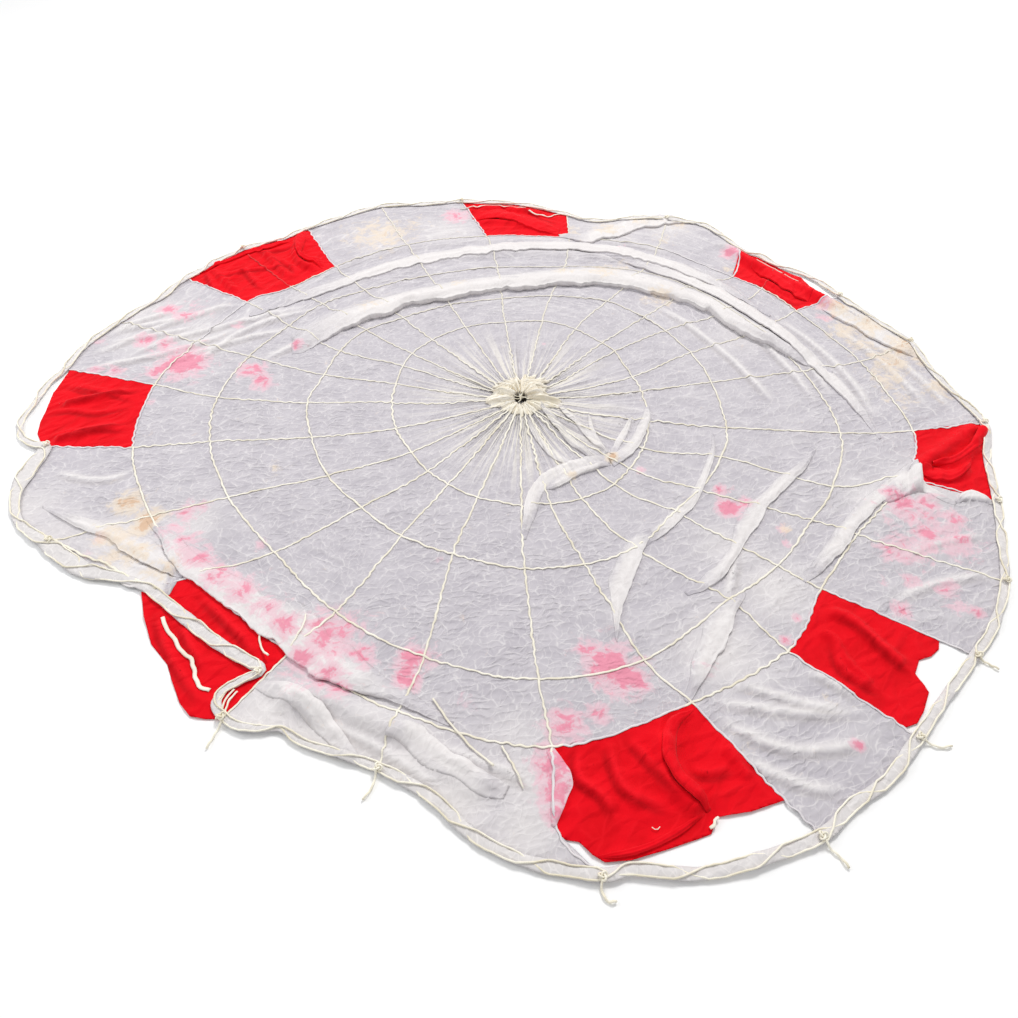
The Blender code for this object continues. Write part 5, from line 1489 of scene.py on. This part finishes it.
def gatheredMaterial(name, mouth):
    # many layers of nylon drawn together: cream, with bright ridges that run out from the mouth
    material, tree, shader = newMaterial(name, 0.7, 0.2)
    own = node(tree, "UVMap", {}, uv_map="ownMap").outputs[0]
    coords = node(tree, "TexCoord", {}).outputs["Object"]
    swung = waved(tree, own, 9.0, 0.012)
    broad = noiseField(tree, stretched(tree, swung, 0, 0.014, 1.3), 1.0, 3.0)
    narrow = noiseField(tree, stretched(tree, swung, 0, 0.005, 0.8), 1.0, 2.0)
    tone = mixed(tree, between(tree, broad, 0.34, 0.56), collar["deep"], collar["plain"])
    tone = mixed(tree, between(tree, narrow, 0.48, 0.66), tone, collar["bright"])
    olive = between(tree, noiseField(tree, coords, 22.0), 0.48, 0.68)
    tone = mixed(tree, times(tree, olive, 0.25), tone, collar["olive"])
    height = node(tree, "SeparateXYZ", {"Vector": own}).outputs[1]
    # with a mouth, the inner wall is painted dark there: a painted shade for the deep well of the vent
    if mouth:
        tone = mixed(tree, between(tree, height, 0.02, 0.13, 1.0, 0.0), tone, collar["inside"])
    tree.links.new(tone, shader.inputs["Base Color"])
    bumped(tree, shader, [(broad, 0.004), (narrow, 0.0016)])
    return material


def makeGathered(name, around, out, place, material):
    bm = grid(around, out, place)
    stretchMap(bm, 0.6)
    bmesh.ops.remove_doubles(bm, verts=bm.verts, dist=1e-6)
    obj = addThin(name, bm, collar["thickness"], material)
    return obj


def makeCollar(cloth, topCloth, cord):
    around, shares = collar["around"], collar["shares"]
    angles = np.array([360 * i / around for i in range(around)])
    outer = collarShape(angles)[0]
    rows = []
    for i, angle in enumerate(angles):
        reach = collar["mouth"] + (outer[i] - collar["mouth"]) * np.array(shares)
        reach[0] += 0.002
        rows.append([polar(angle, r) for r in reach])
    rows.append(rows[0])
    ground = overGround(rows)
    lifts = [collarHeight(np.array([tuple(p) for p in row]) * 0.9999) for row in rows]

    def place(i, j):
        p = ground[i][j].copy()
        p.z = p.z + collar["lift"] + lifts[i][j] if j else collar["well"]
        return p

    obj = makeGathered("vent_collar_cloth", around, len(shares) - 1, place, cloth)
    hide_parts("vent_collar")
    tuft = collar["tuft"]
    middle, steps, out = Vector(tuft["middle"]), tuft["around"], tuft["out"]
    spots = []
    for i in range(steps + 1):
        turn = fullTurn * (i % steps) / steps
        fold = math.sin(turn * tuft["pleats"] + 1.8 * math.sin(turn * 2))
        reach = tuft["radius"] * (0.86 + 0.20 * fold + 0.22 * math.sin(turn * 2 + 0.6))
        reaches = [reach * (0.05 + 0.95 * j / out) for j in range(out + 1)]
        spots.append([(middle + polar(math.degrees(turn), r), fold) for r in reaches])
    base = overGround([[p for p, _ in row] for row in spots])
    under = [collarHeight(np.array([tuple(p) for p, _ in row])) for row in spots]

    def tuftPlace(i, j):
        p = base[i][j].copy()
        s, fold = j / out, spots[i][j][1]
        hump = math.sin(math.pi * (0.30 + 0.70 * s)) * (0.80 + 0.20 * fold) + 0.10 * fold * s
        p.z += tuft["lift"] + tuft["follow"] * under[i][j] + tuft["high"] * hump
        return p

    rosette = makeGathered("vent_tuft_cloth", steps, out, tuftPlace, topCloth)
    for k, angle in enumerate(collar["lineAngles"]):
        a, b = polar(angle, collar["lineReach"]), polar(angle + 180, collar["lineReach"])
        line = []
        for i in range(15):
            t = i / 14
            p = a.lerp(b, t) + Vector((0.003 * math.sin(t * 9 + k), 0.003 * math.cos(t * 7 + k)))
            high = collar["lineHigh"] + 0.002 * k + 0.006 * (2 * t - 1) ** 2
            line.append(Vector((p.x + apex.x, p.y + apex.y, high)))
        rope = makeRope("vent_line_%02d_cord" % (k + 1), line, collar["line"], cord)
        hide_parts("vent_line_%02d" % (k + 1))


# ---- knots ----

knots = {
    "size": 0.0030, "cord": 0.0026, "lift": 0.0125, "lay": 8.0, "steps": 40,
    "places": (  # on the band: angle, radius, turn
        (239.2, 1.262, 20), (256.0, 1.236, 70), (275.8, 1.422, 10), (293.2, 1.454, 95), (306.6, 1.400, 50),
        (318.6, 1.384, 80), (238.5, 1.135, 140), (329.8, 1.382, 30), (342.3, 1.356, 0), (356.9, 1.390, 65),
        (374.5, 1.346, 20), (388.8, 1.312, 60), (423.4, 1.347, 10), (459.9, 1.386, 40), (498.6, 1.412, 90),
        (188.3, 1.385, 120), (205.3, 1.345, 35)),
}


def makeKnot(k, angle, radius, turn, material):
    middle = polar(angle, radius) + apex
    ground = clothHeight([(middle.x, middle.y)])[0]
    line = []
    for i in range(knots["steps"]):
        t = fullTurn * i / knots["steps"]
        x, y = math.sin(t) + 2 * math.sin(2 * t), math.cos(t) - 2 * math.cos(2 * t)
        p = Vector((x, y, -0.9 * math.sin(3 * t))) * knots["size"]
        p = Matrix.Rotation(math.radians(turn), 3, "Z") @ p
        line.append(p + Vector((middle.x, middle.y, ground + knots["lift"])))
    obj = makeRope("line_knot_%02d" % (k + 1), line, knots["cord"], material, True, 3, knots["lay"], 6)


# ---- stains and the way the creases run ----

pinkStains = (  # plan place, radius, strength in per cent
    (-1090, 210, 71, 100), (-1170, 280, 53, 50), (-1140, 530, 63, 40), (-1240, 120, 51, 40),
    (-860, 170, 38, 90), (-810, 100, 31, 70), (-740, 310, 20, 90), (-970, 440, 27, 50),
    (-450, -870, 70, 80), (-490, -1010, 27, 50), (190, -940, 50, 100), (230, -980, 45, 100),
    (150, -900, 28, 80), (260, -950, 32, 60), (90, -1090, 43, 80), (160, -1070, 30, 70),
    (110, -1120, 34, 60), (550, -370, 22, 80), (560, -440, 32, 100), (600, -420, 27, 70),
    (680, -520, 21, 60), (680, -570, 13, 60), (410, -950, 27, 35), (650, -810, 12, 80), (690, -800, 10, 60),
    (610, -870, 16, 70), (700, -1140, 13, 90), (720, -1000, 22, 30), (900, -690, 21, 34),
    (340, -290, 14, 70), (1060, 490, 28, 60), (10, -1240, 32, 35), (-120, -1030, 35, 30),
    (-210, -630, 13, 40), (80, 330, 13, 30), (-1090, -560, 21, 50), (-1110, -610, 20, 40),
    (-1170, -630, 13, 50), (-1140, 10, 18, 50), (-1370, -190, 14, 40), (-1390, 500, 49, 50),
    (-1400, 320, 33, 40), (940, -440, 23, 34), (390, 980, 39, 30), (1030, -420, 38, 86),
    (1010, -390, 25, 86), (1100, -420, 30, 77), (1060, -530, 34, 86), (1040, -580, 25, 77),
    (1150, -480, 30, 77), (1140, -550, 25, 86), (1100, -590, 25, 77), (950, -590, 38, 69),
    (980, -610, 25, 69), (970, -690, 25, 69), (1040, -720, 30, 69), (910, -780, 25, 69),
    (1050, -770, 25, 60), (1090, -790, 17, 77), (70, -1190, 45, 100), (70, -1240, 40, 90),
    (70, -1290, 30, 80), (-560, -840, 37, 74), (-500, -930, 40, 80), (-440, -980, 40, 80),
    (-410, -1020, 30, 70), (-370, -920, 35, 80), (-250, -930, 40, 90), (-260, -980, 30, 90),
    (-250, 1250, 50, 80), (820, 940, 35, 90), (850, 890, 30, 90), (1070, 600, 35, 90), (1090, 560, 30, 80),
    (-870, -580, 41, 67), (-820, -630, 41, 74), (-750, -690, 41, 74), (-680, -740, 41, 74),
    (-610, -790, 37, 74), (-890, -460, 33, 67), (-860, -440, 21, 67), (-670, -580, 16, 59),
    (-920, -530, 33, 59), (-1230, 530, 35, 85), (-1160, 490, 35, 85), (-1250, 330, 35, 80),
    (-1180, 320, 30, 80), (-1160, 170, 35, 90), (-1100, 200, 35, 95), (-1040, 230, 30, 85),
    (-1360, 170, 25, 80), (-1300, 160, 25, 80), (-860, 170, 35, 90), (-820, 120, 30, 85),
    (1060, -460, 80, 56), (1120, -550, 75, 54), (990, -580, 70, 52), (-720, -720, 60, 50))
rustStains = (
    (-1060, -430, 38, 80), (-990, -490, 32, 90), (-1000, -530, 26, 80), (-1040, -620, 30, 60),
    (300, 790, 52, 50), (-550, 1090, 119, 50), (-440, 1170, 73, 35), (1140, 340, 54, 50),
    (1170, 150, 58, 50), (260, -240, 17, 100), (140, -320, 14, 60), (470, -1140, 21, 40), (-50, 60, 44, 40),
    (-530, 540, 42, 40), (-220, 690, 29, 40), (500, 610, 50, 45), (380, 840, 45, 35), (-690, -290, 28, 30),
    (680, -1030, 31, 20), (1310, 250, 39, 50), (1180, 40, 43, 40), (120, -20, 31, 35), (560, 1060, 48, 30),
    (690, -520, 16, 60), (790, 830, 23, 50), (-1060, -560, 45, 55), (-980, -620, 45, 55),
    (-890, -670, 40, 45), (200, 1110, 45, 50), (350, 1110, 50, 50), (500, 1180, 40, 45),
    (650, 1180, 40, 45), (1120, 540, 45, 60), (1200, 440, 50, 65), (1270, 320, 50, 65), (1310, 90, 45, 50),
    (1200, 230, 60, 65), (1100, 420, 50, 55), (160, 780, 30, 55), (320, 750, 30, 55))
paleSpots = (  # where the cloth lies doubled and looks whiter, partly a painted highlight on smooth cloth
    (-560, -1070, 80, 90), (-440, -1120, 85, 90), (-340, -1120, 80, 80), (-240, -1190, 80, 90),
    (-140, -1260, 70, 90), (-1320, -450, 70, 60), (-1210, -540, 70, 60), (-1060, -560, 70, 70),
    (-950, -630, 60, 80), (-870, -500, 55, 60), (-1270, 520, 80, 50), (-1080, 360, 100, 50),
    (-1300, 330, 60, 40), (-550, 1060, 80, 50), (-290, 1110, 80, 60), (100, 1080, 80, 50),
    (730, 370, 70, 40), (450, -910, 75, 80), (620, -720, 80, 70), (520, -580, 60, 50), (0, -1230, 70, 70),
    (0, -1320, 60, 80), (-20, -1130, 60, 50), (1120, -340, 70, 70), (1210, -330, 60, 70),
    (950, -400, 60, 60), (350, 1110, 80, 60), (600, 1160, 70, 60))


def spotSum(points, spots):
    total = np.zeros(len(points))
    for x, y, size, strength in spots:
        away = np.hypot(points[:, 0] - x / 1000, points[:, 1] - y / 1000) / (size / 1000)
        total = np.maximum(total, strength / 100 * np.exp(-(away * 0.75) ** 2))
    return total


def colourCloth(bm, points, doubled=None, crest=None):
    # the layers that the cloth's materials read: lay is how the creases run, the next holds pink and rust
    # stains, doubled cloth and a painted highlight on the crests, and shade is the painted shade in the
    # hollows
    lay = bm.verts.layers.float_color.new("lay")
    stainsAndHighlight = bm.verts.layers.float_color.new("stainsAndHighlight")
    weights = layWeights(points)
    pink, rust = spotSum(points, pinkStains), spotSum(points, rustStains)
    shade = bm.verts.layers.float.new("shade")
    hollowShade = np.zeros(len(points))
    if crest is None:
        # crest tops get a painted highlight, and the hollows in front of long creases painted shade
        light, behind, hollowShade = creaseLight(points)
        crest = np.maximum(0.55 * crestAmount(points)[1], light)
        doubled = np.maximum(np.clip(foldHeight(points) / 0.030, 0, 1) * 0.5, 0.75 * behind)
    doubled = np.maximum(doubled, 0.85 * spotSum(points, paleSpots))
    for v in bm.verts:
        k = v.index
        v[lay] = [w[k] for w in weights]
        v[stainsAndHighlight] = (pink[k], rust[k], doubled[k], crest[k])
        v[shade] = hollowShade[k]


panels = {kind: ["%s_panel_%02d" % (kind, k) for k in range(1, 9)] for kind in ("white", "red")}


makeCamera()
cordBraid = tapeMaterial("cordBraid", (250, 245, 229), (230, 221, 196), 0.004)
for name, route in stubs["routes"].items():
    makeStub(name, route, cordBraid)
makeLights()
makeFloor()
print("stage and line ends made")
sheerCloth = sheerMaterial("sheerCloth")
bandCloth = sheerMaterial("bandCloth", 0.35, 0.16)
creamCloth = gatheredMaterial("gatheredCloth", True)
tuftCloth = gatheredMaterial("tuftCloth", False)
tapeWoven = tapeMaterial("tapeWoven", (245, 240, 226), (228, 220, 199), 0.0030, (221, 215, 205))
lapCloth = tapeMaterial("lapCloth", (226, 221, 222), (212, 207, 211), 0.0030)
redSeam = tapeMaterial("redSeam", (224, 12, 22), (188, 2, 12), 0.0030)
redNylon = redMaterial()
sewnOn = makeTapes(tapeWoven)
makeRedHemTape(tapeWoven)
sewnOn += [makeHemLine(name, *rest, tapeWoven) for name, rest in hemLines.items()]
sewnOn += [makeFoldBand(name, fold, sheerCloth) for name, fold in foldBands.items()]
print("tapes and folds made")
makeCloth("crown_cloth", sheerCloth, cloth["cell"], True)
print("crown made")
for piece in panels["white"]:
    makeCloth(piece, sheerCloth, cloth["panelCell"])
for piece in panels["red"]:
    names = [name for name in redBands if piece[-2:] in name]
    own = [makeFoldBand(name, redBands[name], redNylon) for name in names]
    makeCloth(piece, redNylon, cloth["redCell"])
print("panels made")
makeBand(bandCloth, cordBraid)
makeCollar(creamCloth, tuftCloth, cordBraid)
for k, place in enumerate(knots["places"]):
    makeKnot(k, *place, cordBraid)
print("band and collar made")
